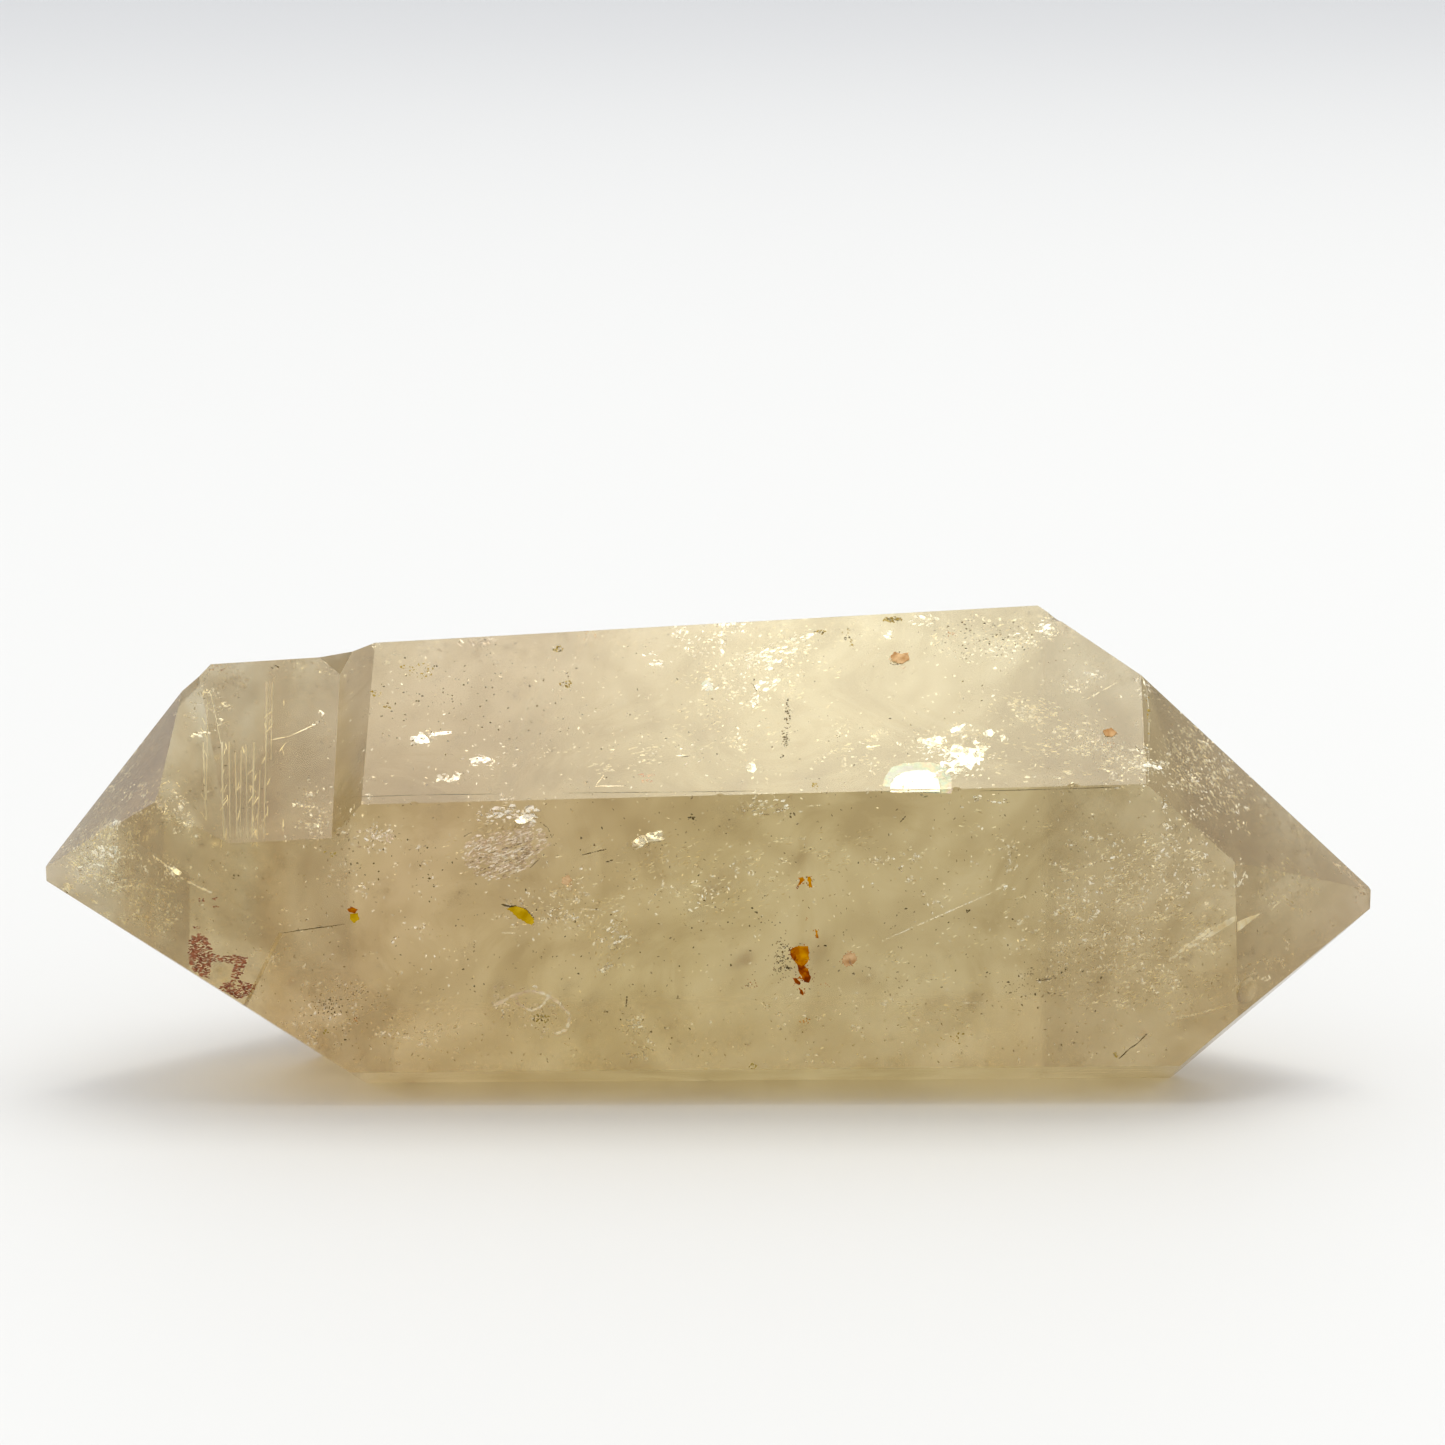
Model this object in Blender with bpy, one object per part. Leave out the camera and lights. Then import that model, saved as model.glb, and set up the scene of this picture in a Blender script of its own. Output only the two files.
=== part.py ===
"""A doubly terminated quartz crystal, 120 mm long, lying on a flat face along its length.

Quartz grows as a six-sided prism closed by six sloping faces at each end. The angles between like faces
are nearly the same on every crystal, apart from what polishing moves, while their distances from the
middle differ. So each face here is a flat plane given by two angles and a distance. A block is cut down
to all of them, and then the growth steps, the pit and the chips are taken out of it.

Metres, +Z up. The long axis runs along X, and the side with the growth ledge faces -Y. The origin is in
the middle of the crystal's footprint, on the surface that it rests on.
"""
from math import cos, radians, sin

import bmesh
import bpy
from mathutils import Matrix, Vector

MM = 0.001

# Driving dimensions
BLOCK_SIZE = 200 * MM        # raw block that the faces are cut from
AXIS_HEIGHT = 18.9 * MM      # long axis above the face that the crystal rests on
POINT_TILT = 38.2            # degrees between a prism face and the point face that grows from it

# A face is (turn, tilt, distance). Turn is the angle round the long axis, upward from straight ahead of
# the ledge side. Tilt leans the face towards the right point (+) or the left point (-). Distance is from
# the middle of the axis. Going round the prism, the faces turn by about 60 degrees each.
PRISM = {
    "front_upper": (50.0, -1.0, 23.8 * MM),
    "front_lower": (-11.5, 0.5, 21.8 * MM),
    "front_under": (-70.0, 0.5, 21.1 * MM),
    "back_under": (-130.0, 0.5, 19.5 * MM),
    "back": (170.0, 0.0, 14.5 * MM),
    "top": (114.0, -3.5, 17.7 * MM),
}
RIGHT_POINT = {
    "front_upper": (49.0, 39.0, 43.4 * MM),
    "front_lower": (-9.0, 37.0, 45.4 * MM),
    "front_under": (-69.5, 39.5, 43.1 * MM),
    "back_under": (-130.0, POINT_TILT, 34.5 * MM),
    "back": (170.0, 42.0, 31.8 * MM),
    "top": (111.0, 39.5, 34.8 * MM),
}
LEFT_POINT = {
    "front_upper": (64.0, -46.0, 48.4 * MM),
    "front_lower": (-9.5, -POINT_TILT, 47.3 * MM),
    "front_under": (-72.5, -32.0, 34.6 * MM),
    "back_under": (-130.0, -POINT_TILT, 33.9 * MM),
    "back": (170.0, -46.0, 33.9 * MM),
    "top": (105.5, -52.0, 46.1 * MM),
}
REST_FACE = (-90.0, 0.0, AXIS_HEIGHT)

# Growth ledge: the left end of front_upper stands lower, between a sloping wall and a low left wall
LEDGE = {
    "floor": (52.0, -2.5, 21.4 * MM),
    "wall": (51.0, -46.5, 37.9 * MM),
    "wall_foot": (30.5, -23.5, 28.7 * MM),
    "left_wall": (59.0, 28.5, -4.6 * MM),
}
# Step at the lower left, under a wall that is parallel to the left point's front_under face
STEP_WALL = (-72.5, -32.0, 27.5 * MM)
STEP_ON_PRISM = {
    "floor": (-11.5, 0.5, 21.4 * MM),
    "wall": STEP_WALL,
    "right_wall": (20.0, -47.0, 41.2 * MM),
}
STEP_ON_POINT = {
    "floor": (-10.0, -31.0, 42.4 * MM),
    "wall": STEP_WALL,
}
# Low growth ledge across the back, where the prism face falls away towards the left in a gentle slope
BACK_LEDGE = {
    "floor": (170.0, 0.5, 13.8 * MM),
    "wall": (166.0, -12.0, 17.1 * MM),
}

# Round break at the right, where the point begins: (x, height, radius, depth)
PIT = (48.2 * MM, 10.8 * MM, 1.9 * MM, 0.5 * MM)
# Chips are small breaks on the edge between two faces: (x, radius, depth)
RIDGE_CHIPS = (
    (-25.7 * MM, 0.8 * MM, 0.14 * MM),
    (1.1 * MM, 0.7 * MM, 0.12 * MM),
    (21.8 * MM, 0.9 * MM, 0.16 * MM),
    (32.1 * MM, 1.1 * MM, 0.20 * MM),
)
RIGHT_SHOULDER_CHIP = (40.4 * MM, 1.0 * MM, 0.25 * MM)
TOP_EDGE_CHIP = (31.4 * MM, 1.4 * MM, 0.25 * MM)
BALL_SUBDIVISIONS = 3

CRYSTAL_COLOUR = (0.58, 0.46, 0.26, 1.0)
QUARTZ_IOR = 1.544


def plane_of(face):
    """A point on a (turn, tilt, distance) face, and the face's outward normal."""
    turn, tilt, distance = face
    normal = Vector((
        sin(radians(tilt)),
        -cos(radians(tilt)) * cos(radians(turn)),
        cos(radians(tilt)) * sin(radians(turn)),
    ))
    return Vector((0, 0, AXIS_HEIGHT)) + normal * distance, normal


def face_point(face, x, z):
    """The point of a face at a given x and z."""
    point, normal = plane_of(face)
    y = point.y - (normal.x * (x - point.x) + normal.z * (z - point.z)) / normal.y
    return Vector((x, y, z))


def edge_point(face_a, face_b, x):
    """The point at a given x on the edge between two faces, and the way that the edge faces."""
    point_a, normal_a = plane_of(face_a)
    point_b, normal_b = plane_of(face_b)
    across = Matrix((normal_a, normal_b, (1, 0, 0)))
    point = across.inverted() @ Vector((normal_a.dot(point_a), normal_b.dot(point_b), x))
    return point, (normal_a + normal_b).normalized()


def new_object(name, shape):
    """Makes an object from a bmesh and frees the bmesh."""
    mesh = bpy.data.meshes.new(name)
    shape.to_mesh(mesh)
    shape.free()
    made = bpy.data.objects.new(name, mesh)
    bpy.context.scene.collection.objects.link(made)
    return made


def cut_block(name, faces, keep_inside=True):
    """A closed block cut down to the inner side, or to the outer side, of every face given."""
    shape = bmesh.new()
    bmesh.ops.create_cube(shape, size=BLOCK_SIZE)
    for face in faces:
        point, normal = plane_of(face)
        cut = bmesh.ops.bisect_plane(
            shape,
            geom=shape.verts[:] + shape.edges[:] + shape.faces[:],
            plane_co=point,
            plane_no=normal if keep_inside else -normal,
            dist=0.001 * MM,
            clear_outer=True,
        )
        rim = [part for part in cut["geom_cut"] if isinstance(part, bmesh.types.BMEdge)]
        if rim:
            bmesh.ops.contextual_create(shape, geom=rim)
    bmesh.ops.recalc_face_normals(shape, faces=shape.faces)
    return new_object(name, shape)


def ball_cutter(name, surface_point, outward, radius, depth):
    """A ball that sinks into the surface by the given depth, as a shell-shaped break does."""
    shape = bmesh.new()
    centre = surface_point + outward * (radius - depth)
    bmesh.ops.create_icosphere(
        shape,
        subdivisions=BALL_SUBDIVISIONS,
        radius=radius,
        matrix=Matrix.Translation(centre),
    )
    return new_object(name, shape)


def take_out(crystal, cutter):
    """Subtracts a cutter from the crystal and leaves the cutter as a hidden guide."""
    cut = crystal.modifiers.new(cutter.name, "BOOLEAN")
    cut.operation = "DIFFERENCE"
    cut.solver = "EXACT"
    cut.object = cutter
    cutter.hide_render = True
    cutter.display_type = "WIRE"


def step_cutters():
    """The blocks that leave the growth ledges and the step."""
    steps = {
        "ledge_cutter": LEDGE,
        "step_prism_cutter": STEP_ON_PRISM,
        "step_point_cutter": STEP_ON_POINT,
        "back_ledge_cutter": BACK_LEDGE,
    }
    return [cut_block(name, faces.values(), keep_inside=False) for name, faces in steps.items()]


def break_cutters():
    """The balls that leave the pit and the chips."""
    x, height, radius, depth = PIT
    face = RIGHT_POINT["front_lower"]
    cutters = [ball_cutter("pit_cutter", face_point(face, x, height), plane_of(face)[1], radius, depth)]
    edges = [(PRISM["front_upper"], PRISM["front_lower"], chip) for chip in RIDGE_CHIPS]
    edges.append((PRISM["front_lower"], RIGHT_POINT["front_upper"], RIGHT_SHOULDER_CHIP))
    edges.append((PRISM["front_upper"], RIGHT_POINT["top"], TOP_EDGE_CHIP))
    for number, (face_a, face_b, (x, radius, depth)) in enumerate(edges, start=1):
        point, outward = edge_point(face_a, face_b, x)
        cutters.append(ball_cutter(f"chip_cutter_{number}", point, outward, radius, depth))
    return cutters


def crystal_material():
    """Clear, pale smoky yellow quartz."""
    material = bpy.data.materials.new("smoky_citrine_quartz")
    material.use_nodes = True
    shader = material.node_tree.nodes["Principled BSDF"]
    shader.inputs["Base Color"].default_value = CRYSTAL_COLOUR
    shader.inputs["Roughness"].default_value = 0.05
    shader.inputs["Metallic"].default_value = 0.0
    shader.inputs["IOR"].default_value = QUARTZ_IOR
    shader.inputs["Transmission Weight"].default_value = 1.0
    return material


for old in list(bpy.data.objects):
    bpy.data.objects.remove(old, do_unlink=True)

crystal = cut_block(
    "quartz_crystal",
    [*PRISM.values(), *RIGHT_POINT.values(), *LEFT_POINT.values(), REST_FACE],
)
crystal.data.materials.append(crystal_material())
cutters = step_cutters() + break_cutters()

# Everything moves together, so that the origin comes to the middle of the footprint
corners = [vertex.co for vertex in crystal.data.vertices]
middle_x = (min(corner.x for corner in corners) + max(corner.x for corner in corners)) / 2
middle_y = (min(corner.y for corner in corners) + max(corner.y for corner in corners)) / 2
to_origin = Matrix.Translation((-middle_x, -middle_y, 0))
for made in [crystal, *cutters]:
    made.data.transform(to_origin)

for cutter in cutters:
    take_out(crystal, cutter)
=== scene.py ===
# %% [markdown]
# # A smoky yellow quartz crystal
#
# This lesson dresses a packed crystal for a studio photograph. The crystal itself is one faceted solid.
# What makes it look real is inside: silvery fractures, milky clouds, rust and fine specks, seen through
# clear stone that bends the light.

# %% Load the frame
from math import atan2, cos, degrees, pi, radians, sin, sqrt, tau
from random import Random

import bmesh
import bpy
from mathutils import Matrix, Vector
from mathutils.bvhtree import BVHTree


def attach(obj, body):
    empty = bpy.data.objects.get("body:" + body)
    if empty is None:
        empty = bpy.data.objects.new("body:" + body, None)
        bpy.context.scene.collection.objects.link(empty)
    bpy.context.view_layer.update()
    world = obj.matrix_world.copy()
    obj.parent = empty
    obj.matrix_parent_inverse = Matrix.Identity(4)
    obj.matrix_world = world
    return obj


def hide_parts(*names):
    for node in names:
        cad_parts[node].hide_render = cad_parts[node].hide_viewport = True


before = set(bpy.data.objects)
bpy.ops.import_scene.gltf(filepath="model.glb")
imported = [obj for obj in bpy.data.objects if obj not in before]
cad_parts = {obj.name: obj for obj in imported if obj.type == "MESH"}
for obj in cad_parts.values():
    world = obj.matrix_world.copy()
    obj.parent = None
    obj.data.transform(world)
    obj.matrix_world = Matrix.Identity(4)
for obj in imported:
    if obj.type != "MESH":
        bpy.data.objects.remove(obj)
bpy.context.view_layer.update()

MM = 0.001
cad_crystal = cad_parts["quartz_crystal"]

# %% [markdown]
# ## The camera
#
# The photograph looks at the crystal from ten degrees above, square on to its long axis. The camera
# stands 431 mm away, and the lens is worked out from how wide the picture is at that distance.

# %% The camera
PHOTO_SIZE = 1445
CAMERA_TILT = 10.0
CAMERA_TARGET = Vector((1.1, 3.9, 31.7)) * MM
CAMERA_DISTANCE = 431.0 * MM
PICTURE_WIDTH = 134.1 * MM
SENSOR_WIDTH = 36.0

tilt = radians(CAMERA_TILT)
camera_place = CAMERA_TARGET - CAMERA_DISTANCE * Vector((0, cos(tilt), -sin(tilt)))
bpy.ops.object.camera_add(location=camera_place, rotation=(radians(90 - CAMERA_TILT), 0, 0))
camera = bpy.context.object
camera.name = "photo_camera"
camera.data.sensor_width = SENSOR_WIDTH
camera.data.lens = SENSOR_WIDTH * CAMERA_DISTANCE / PICTURE_WIDTH
bpy.context.scene.camera = camera
print("lens", round(camera.data.lens, 1), "mm")

# %% [markdown]
# ## Floor and light
#
# Clear stone shows what stands around it, so the studio is bright on every side: a pale floor that
# runs to the horizon, an even white sky, and one wide softbox overhead. The softbox puts the pale sheen
# on the upper face and the white flashes on the fractures. A small warm lamp beside its middle
# gives that sheen its glowing centre.

# %% Floor and light
FLOOR_RADIUS = 20.0
FLOOR_GAP = 0.1 * MM
FLOOR_CORNERS = 128
FLOOR_COLOUR = (0.65, 0.655, 0.66, 1.0)
FLOOR_ROUGHNESS = 0.6
SOFTBOX_PLACE = (0.62, 0.0, 3.0)
SOFTBOX_SIZE = (2.2, 2.2)
SOFTBOX_POWER = 50.0
SOFTBOX_COLOUR = (1.0, 0.965, 0.87)
KEY_PLACE = (-0.01, 0.0, 3.0)
KEY_SIZE = (0.22, 0.26)
KEY_POWER = 2.6
KEY_COLOUR = (1.0, 0.93, 0.62)
SKY_COLOUR = (0.97, 0.98, 1.0, 1.0)
SKY_STRENGTH = 1.03
LIGHT_BOUNCES = 24


def principled(name, **values):
    """A new material with these values on its shader, and the shader itself."""
    material = bpy.data.materials.new(name)
    material.use_nodes = True
    shader = material.node_tree.nodes["Principled BSDF"]
    for socket, value in values.items():
        shader.inputs[socket.replace("_", " ")].default_value = value
    return material, shader


def area_light(name, place, size, power, colour):
    """A rectangular light that shines straight down."""
    bpy.ops.object.light_add(type="AREA", location=place)
    light = bpy.context.object
    light.name = name
    light.data.shape = "RECTANGLE"
    light.data.size, light.data.size_y = size
    light.data.energy = power
    light.data.color = colour


floor_material, _ = principled("pale_floor", Base_Color=FLOOR_COLOUR, Roughness=FLOOR_ROUGHNESS)
bpy.ops.mesh.primitive_circle_add(
    vertices=FLOOR_CORNERS, radius=FLOOR_RADIUS, fill_type="NGON", location=(0, 0, -FLOOR_GAP)
)
floor = bpy.context.object
floor.name = "studio_floor"
floor.data.materials.append(floor_material)

area_light("softbox", SOFTBOX_PLACE, SOFTBOX_SIZE, SOFTBOX_POWER, SOFTBOX_COLOUR)
area_light("warm_key_light", KEY_PLACE, KEY_SIZE, KEY_POWER, KEY_COLOUR)

sky = bpy.data.worlds.new("white_studio")
sky.use_nodes = True
sky.node_tree.nodes["Background"].inputs["Color"].default_value = SKY_COLOUR
sky.node_tree.nodes["Background"].inputs["Strength"].default_value = SKY_STRENGTH
scene = bpy.context.scene
scene.world = sky
scene.view_settings.view_transform = "Standard"
scene.cycles.max_bounces = LIGHT_BOUNCES
scene.cycles.transmission_bounces = LIGHT_BOUNCES
print("floor, two lights and sky are in place")

# %% [markdown]
# ## The finish of the stone
#
# Quartz bends light with an index of 1.544. The tan colour isn't on its surface: it builds up with the
# way that light travels inside, so it is set as absorption. The outside is polished, with the faint
# dullness of handling. Light that comes out from inside meets the fine veils just under every face, so
# it is scattered, and the far edges melt together as they do in the real stone.

# %% The finish of the stone
QUARTZ_IOR = 1.544
ABSORPTION_COLOUR = (0.664, 0.54, 0.19, 1.0)
ABSORPTION_DENSITY = 46.0
POLISHED = 0.18
VEILED = 0.80

quartz, quartz_shader = principled(
    "smoky_quartz",
    IOR=QUARTZ_IOR,
    Transmission_Weight=1.0,
    Roughness=POLISHED,
)
nodes, links = quartz.node_tree.nodes, quartz.node_tree.links
absorption = nodes.new("ShaderNodeVolumeAbsorption")
absorption.inputs["Color"].default_value = ABSORPTION_COLOUR
absorption.inputs["Density"].default_value = ABSORPTION_DENSITY
links.new(absorption.outputs["Volume"], nodes["Material Output"].inputs["Volume"])

side = nodes.new("ShaderNodeNewGeometry")
from_inside = nodes.new("ShaderNodeMapRange")
from_inside.inputs["To Min"].default_value = POLISHED
from_inside.inputs["To Max"].default_value = VEILED
links.new(side.outputs["Backfacing"], from_inside.inputs["Value"])
links.new(from_inside.outputs["Result"], quartz_shader.inputs["Roughness"])
print("the stone absorbs like smoky quartz")

# %% [markdown]
# ## Growth zones and veils
#
# A crystal takes up iron and smoke unevenly as it grows. The left end is pale, then comes a pinker
# zone, the middle is golden and the right point is smoky, most of all below. Over that lie wispy veils
# at every scale. Both are clear tints on the light that passes the surface.

# %% Growth zones and veils
HALF_LENGTH = 60 * MM
ZONE_DRIFT = 14 * MM
GROWTH_ZONES = (
    (-60 * MM, (1.0, 0.99, 0.95)),
    (-46 * MM, (1.0, 0.97, 0.88)),
    (-31 * MM, (1.0, 0.92, 0.86)),
    (-4 * MM, (1.0, 0.98, 0.87)),
    (26 * MM, (1.0, 1.0, 0.96)),
    (38 * MM, (1.0, 0.97, 0.92)),
    (46 * MM, (0.96, 0.91, 0.78)),
    (53 * MM, (0.86, 0.77, 0.59)),
    (60 * MM, (0.84, 0.73, 0.56)),
)
ZONE_LEAN = 0.6
ZONE_HEIGHT = 15 * MM
# A noise is its scale and detail, with its roughness and distortion where they matter
DRIFT_NOISE = (55.0, 3.0)
VEIL_NOISE = (75.0, 10.0, 0.62, 1.6)
VEIL_TONES = ((0.42, (0.76, 0.71, 0.58)), (0.50, (0.92, 0.90, 0.82)), (0.58, (1.0, 1.0, 0.98)))


def noise(tree, scale, detail, roughness=0.5, distortion=0.0):
    """A noise texture laid out by the place on the piece."""
    place = tree.nodes.new("ShaderNodeTexCoord")
    texture = tree.nodes.new("ShaderNodeTexNoise")
    texture.inputs["Scale"].default_value = scale
    texture.inputs["Detail"].default_value = detail
    texture.inputs["Roughness"].default_value = roughness
    texture.inputs["Distortion"].default_value = distortion
    tree.links.new(place.outputs["Object"], texture.inputs["Vector"])
    return texture


def colour_ramp(tree, stops):
    """A colour ramp with these (position, colour) stops."""
    ramp = tree.nodes.new("ShaderNodeValToRGB")
    elements = ramp.color_ramp.elements
    for position, _ in stops[1:-1]:
        elements.new(position)
    for element, (position, colour) in zip(elements, stops):
        element.position = position
        element.color = (*colour, 1.0)
    return ramp


def multiplied(tree, colour, tint):
    """A node that multiplies one colour output by another."""
    mix = tree.nodes.new("ShaderNodeMix")
    mix.data_type = "RGBA"
    mix.blend_type = "MULTIPLY"
    mix.inputs[0].default_value = 1.0
    tree.links.new(colour, mix.inputs[6])
    tree.links.new(tint, mix.inputs[7])
    return mix


drift = noise(quartz.node_tree, *DRIFT_NOISE)
place_on_stone = nodes.new("ShaderNodeTexCoord")
along_axis = nodes.new("ShaderNodeSeparateXYZ")
zone = nodes.new("ShaderNodeMath")
zone.operation = "MULTIPLY_ADD"
zone.inputs[1].default_value = ZONE_DRIFT
leaned = nodes.new("ShaderNodeMath")
leaned.operation = "MULTIPLY_ADD"
leaned.inputs[1].default_value = -ZONE_LEAN
zone_start = ZONE_DRIFT / 2 - ZONE_LEAN * ZONE_HEIGHT
zone_place = nodes.new("ShaderNodeMapRange")
zone_place.inputs["From Min"].default_value = zone_start - HALF_LENGTH
zone_place.inputs["From Max"].default_value = zone_start + HALF_LENGTH
zone_colours = colour_ramp(
    quartz.node_tree,
    [((x + HALF_LENGTH) / (2 * HALF_LENGTH), colour) for x, colour in GROWTH_ZONES],
)
links.new(place_on_stone.outputs["Object"], along_axis.inputs["Vector"])
links.new(drift.outputs["Fac"], zone.inputs[0])
links.new(along_axis.outputs["X"], zone.inputs[2])
links.new(along_axis.outputs["Z"], leaned.inputs[0])
links.new(zone.outputs["Value"], leaned.inputs[2])
links.new(leaned.outputs["Value"], zone_place.inputs["Value"])
links.new(zone_place.outputs["Result"], zone_colours.inputs["Fac"])

veils = noise(quartz.node_tree, *VEIL_NOISE)
veil_colours = colour_ramp(quartz.node_tree, VEIL_TONES)
links.new(veils.outputs["Fac"], veil_colours.inputs["Fac"])
veiled = multiplied(quartz.node_tree, zone_colours.outputs["Color"], veil_colours.outputs["Color"])

# Growth lines run round the stone and are strong only at the left end, where the ledge is
GROWTH_LINE_TONES = ((0.42, (0.95, 0.89, 0.76)), (0.52, (1.0, 0.985, 0.92)), (0.60, (1.0, 1.0, 0.98)))
LINES_FADE = (-40 * MM, -34 * MM)
LINE_STRETCH = (1.0, 0.06, 0.06)
LINE_NOISE = (420.0, 3.0)

drawn_out = nodes.new("ShaderNodeMapping")
drawn_out.inputs["Scale"].default_value = LINE_STRETCH
lines = noise(quartz.node_tree, *LINE_NOISE)
line_colours = colour_ramp(quartz.node_tree, GROWTH_LINE_TONES)
fade = nodes.new("ShaderNodeMapRange")
fade.inputs["From Min"].default_value, fade.inputs["From Max"].default_value = LINES_FADE
fade.inputs["To Min"].default_value, fade.inputs["To Max"].default_value = 1.0, 0.0
links.new(place_on_stone.outputs["Object"], drawn_out.inputs["Vector"])
links.new(drawn_out.outputs["Vector"], lines.inputs["Vector"])
links.new(lines.outputs["Fac"], line_colours.inputs["Fac"])
links.new(along_axis.outputs["X"], fade.inputs["Value"])
lined = multiplied(quartz.node_tree, veiled.outputs[2], line_colours.outputs["Color"])
links.new(fade.outputs["Result"], lined.inputs[0])
links.new(lined.outputs[2], quartz_shader.inputs["Base Color"])
print(len(GROWTH_ZONES), "growth zones along the stone")

# %% [markdown]
# ## The crystal
#
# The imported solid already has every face. A copy of it is merged, its triangles are dissolved into
# whole faces, and its long edges get a bevel as fine as the worn edge of a real crystal, which catches
# the light as a thin line. A surface tree of the sharp shape is kept first, to place the marks inside.

# %% The crystal
MERGE_DISTANCE = 0.005 * MM
FLAT_ANGLE = 0.4
EDGE_WEAR = 0.09 * MM
EDGE_SEGMENTS = 2
LONG_EDGE = 3.0 * MM
SHARP_ANGLE = 12.0


def only(obj):
    """Selects one object and nothing else."""
    bpy.ops.object.select_all(action="DESELECT")
    obj.select_set(True)
    bpy.context.view_layer.objects.active = obj


only(cad_crystal)
bpy.ops.object.duplicate()
crystal = bpy.context.object
crystal.name = "crystal"
only(crystal)
bpy.ops.object.mode_set(mode="EDIT")
bpy.ops.mesh.select_all(action="SELECT")
bpy.ops.mesh.remove_doubles(threshold=MERGE_DISTANCE)
bpy.ops.mesh.dissolve_limited(angle_limit=radians(FLAT_ANGLE))
bpy.ops.object.mode_set(mode="OBJECT")
bpy.ops.mesh.customdata_custom_splitnormals_clear()
solid = BVHTree.FromPolygons(
    [vertex.co.copy() for vertex in crystal.data.vertices],
    [tuple(face.vertices) for face in crystal.data.polygons],
)

bpy.ops.object.mode_set(mode="EDIT")
bpy.ops.mesh.select_mode(type="EDGE")
bpy.ops.mesh.select_all(action="DESELECT")
shape = bmesh.from_edit_mesh(crystal.data)
for edge in shape.edges:
    edge.select = edge.calc_length() > LONG_EDGE and edge.calc_face_angle(0) > radians(SHARP_ANGLE)
shape.select_flush_mode()
bmesh.update_edit_mesh(crystal.data)
bpy.ops.mesh.bevel(offset=EDGE_WEAR, segments=EDGE_SEGMENTS, affect="EDGES", clamp_overlap=True)
bpy.ops.object.mode_set(mode="OBJECT")
bpy.ops.object.shade_flat()
crystal.data.materials.clear()
crystal.data.materials.append(quartz)
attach(crystal, "root")
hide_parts("quartz_crystal")
print("crystal has", len(crystal.data.polygons), "faces")

# %% [markdown]
# ## Looking into the stone
#
# Each mark inside is placed by the pixel where the photograph shows it. The line of sight through that
# pixel is followed to the surface, bent there as quartz bends it, and followed on inside to the mark's
# depth. So a mark sits inside the stone from every side, and still falls on its pixel from the front.
# Stains and specks in the surface stay where the sight meets it. Marks on the sides that the photograph
# doesn't show are placed at random instead.

# %% Looking into the stone
PIXEL = PICTURE_WIDTH / PHOTO_SIZE
FOCAL_PIXELS = CAMERA_DISTANCE / PIXEL
SKIN = 0.03 * MM
PAST_SURFACE = 0.01 * MM
ROOM_SHARE = 0.9
AXIS_PLACE = Vector((0, 0, 20)) * MM
AXIS_SHARE = 0.9
FAR = 200 * MM
camera_turn = camera.rotation_euler.to_matrix()
RIGHT = Vector((1, 0, 0))
UP = camera_turn @ Vector((0, 1, 0))


def look_into(pixel):
    """Where the sight through a pixel meets the surface, its way on inside, and the face's normal."""
    across, down = pixel[0] - PHOTO_SIZE / 2, pixel[1] - PHOTO_SIZE / 2
    sight = (camera_turn @ Vector((across, -down, -FOCAL_PIXELS))).normalized()
    place, normal, _, _ = solid.ray_cast(camera_place, sight)
    if place is None:
        raise ValueError(f"the crystal isn't at pixel {pixel}")
    bend, cosine = 1 / QUARTZ_IOR, -normal.dot(sight)
    inward = sight * bend + normal * (bend * cosine - sqrt(1 - bend**2 * (1 - cosine**2)))
    return place, inward.normalized(), normal


def at_depth(pixel, depth):
    """The point at a depth under a pixel, kept inside, and the face's normal. Depth 0 is on the face."""
    place, inward, normal = look_into(pixel)
    if depth <= 0:
        return place - normal * depth, normal
    _, _, _, room = solid.ray_cast(place + inward * PAST_SURFACE, inward)
    return place + inward * min(depth, ROOM_SHARE * (room or depth)), normal


def kept_inside(point):
    """The point itself, or the nearest point that is a skin's depth inside the stone."""
    nearest, normal, _, _ = solid.find_nearest(point)
    return point if (nearest - point).dot(normal) > SKIN else nearest - normal * SKIN


def unseen_place(dice):
    """A random place on a face that the photograph doesn't show, and that face's normal."""
    while True:
        middle = AXIS_PLACE + RIGHT * dice.uniform(-HALF_LENGTH, HALF_LENGTH) * AXIS_SHARE
        way = Vector((dice.gauss(0, 0.5), dice.gauss(0, 1), dice.gauss(0, 1))).normalized()
        place, normal, _, _ = solid.ray_cast(middle + way * FAR, -way)
        if place is not None and normal.dot(camera_place - place) < 0:
            return place, normal


def facing(turn, lean):
    """The normal of a plane: turned up from straight ahead, and leaned towards the right point."""
    turn, lean = radians(turn), radians(lean)
    return Vector((sin(lean), -cos(lean) * cos(turn), cos(lean) * sin(turn)))


print("one pixel is", round(PIXEL / MM, 4), "mm")

# %% [markdown]
# ## Flakes
#
# Fractures, crumbs, stains and specks are all thin flakes, thousands of them. Each is a small closed
# lens: a ragged rim with one point raised on either side. A heap collects flakes of one kind and
# becomes a single mesh, because thousands of separate objects would only slow Blender down.

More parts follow.
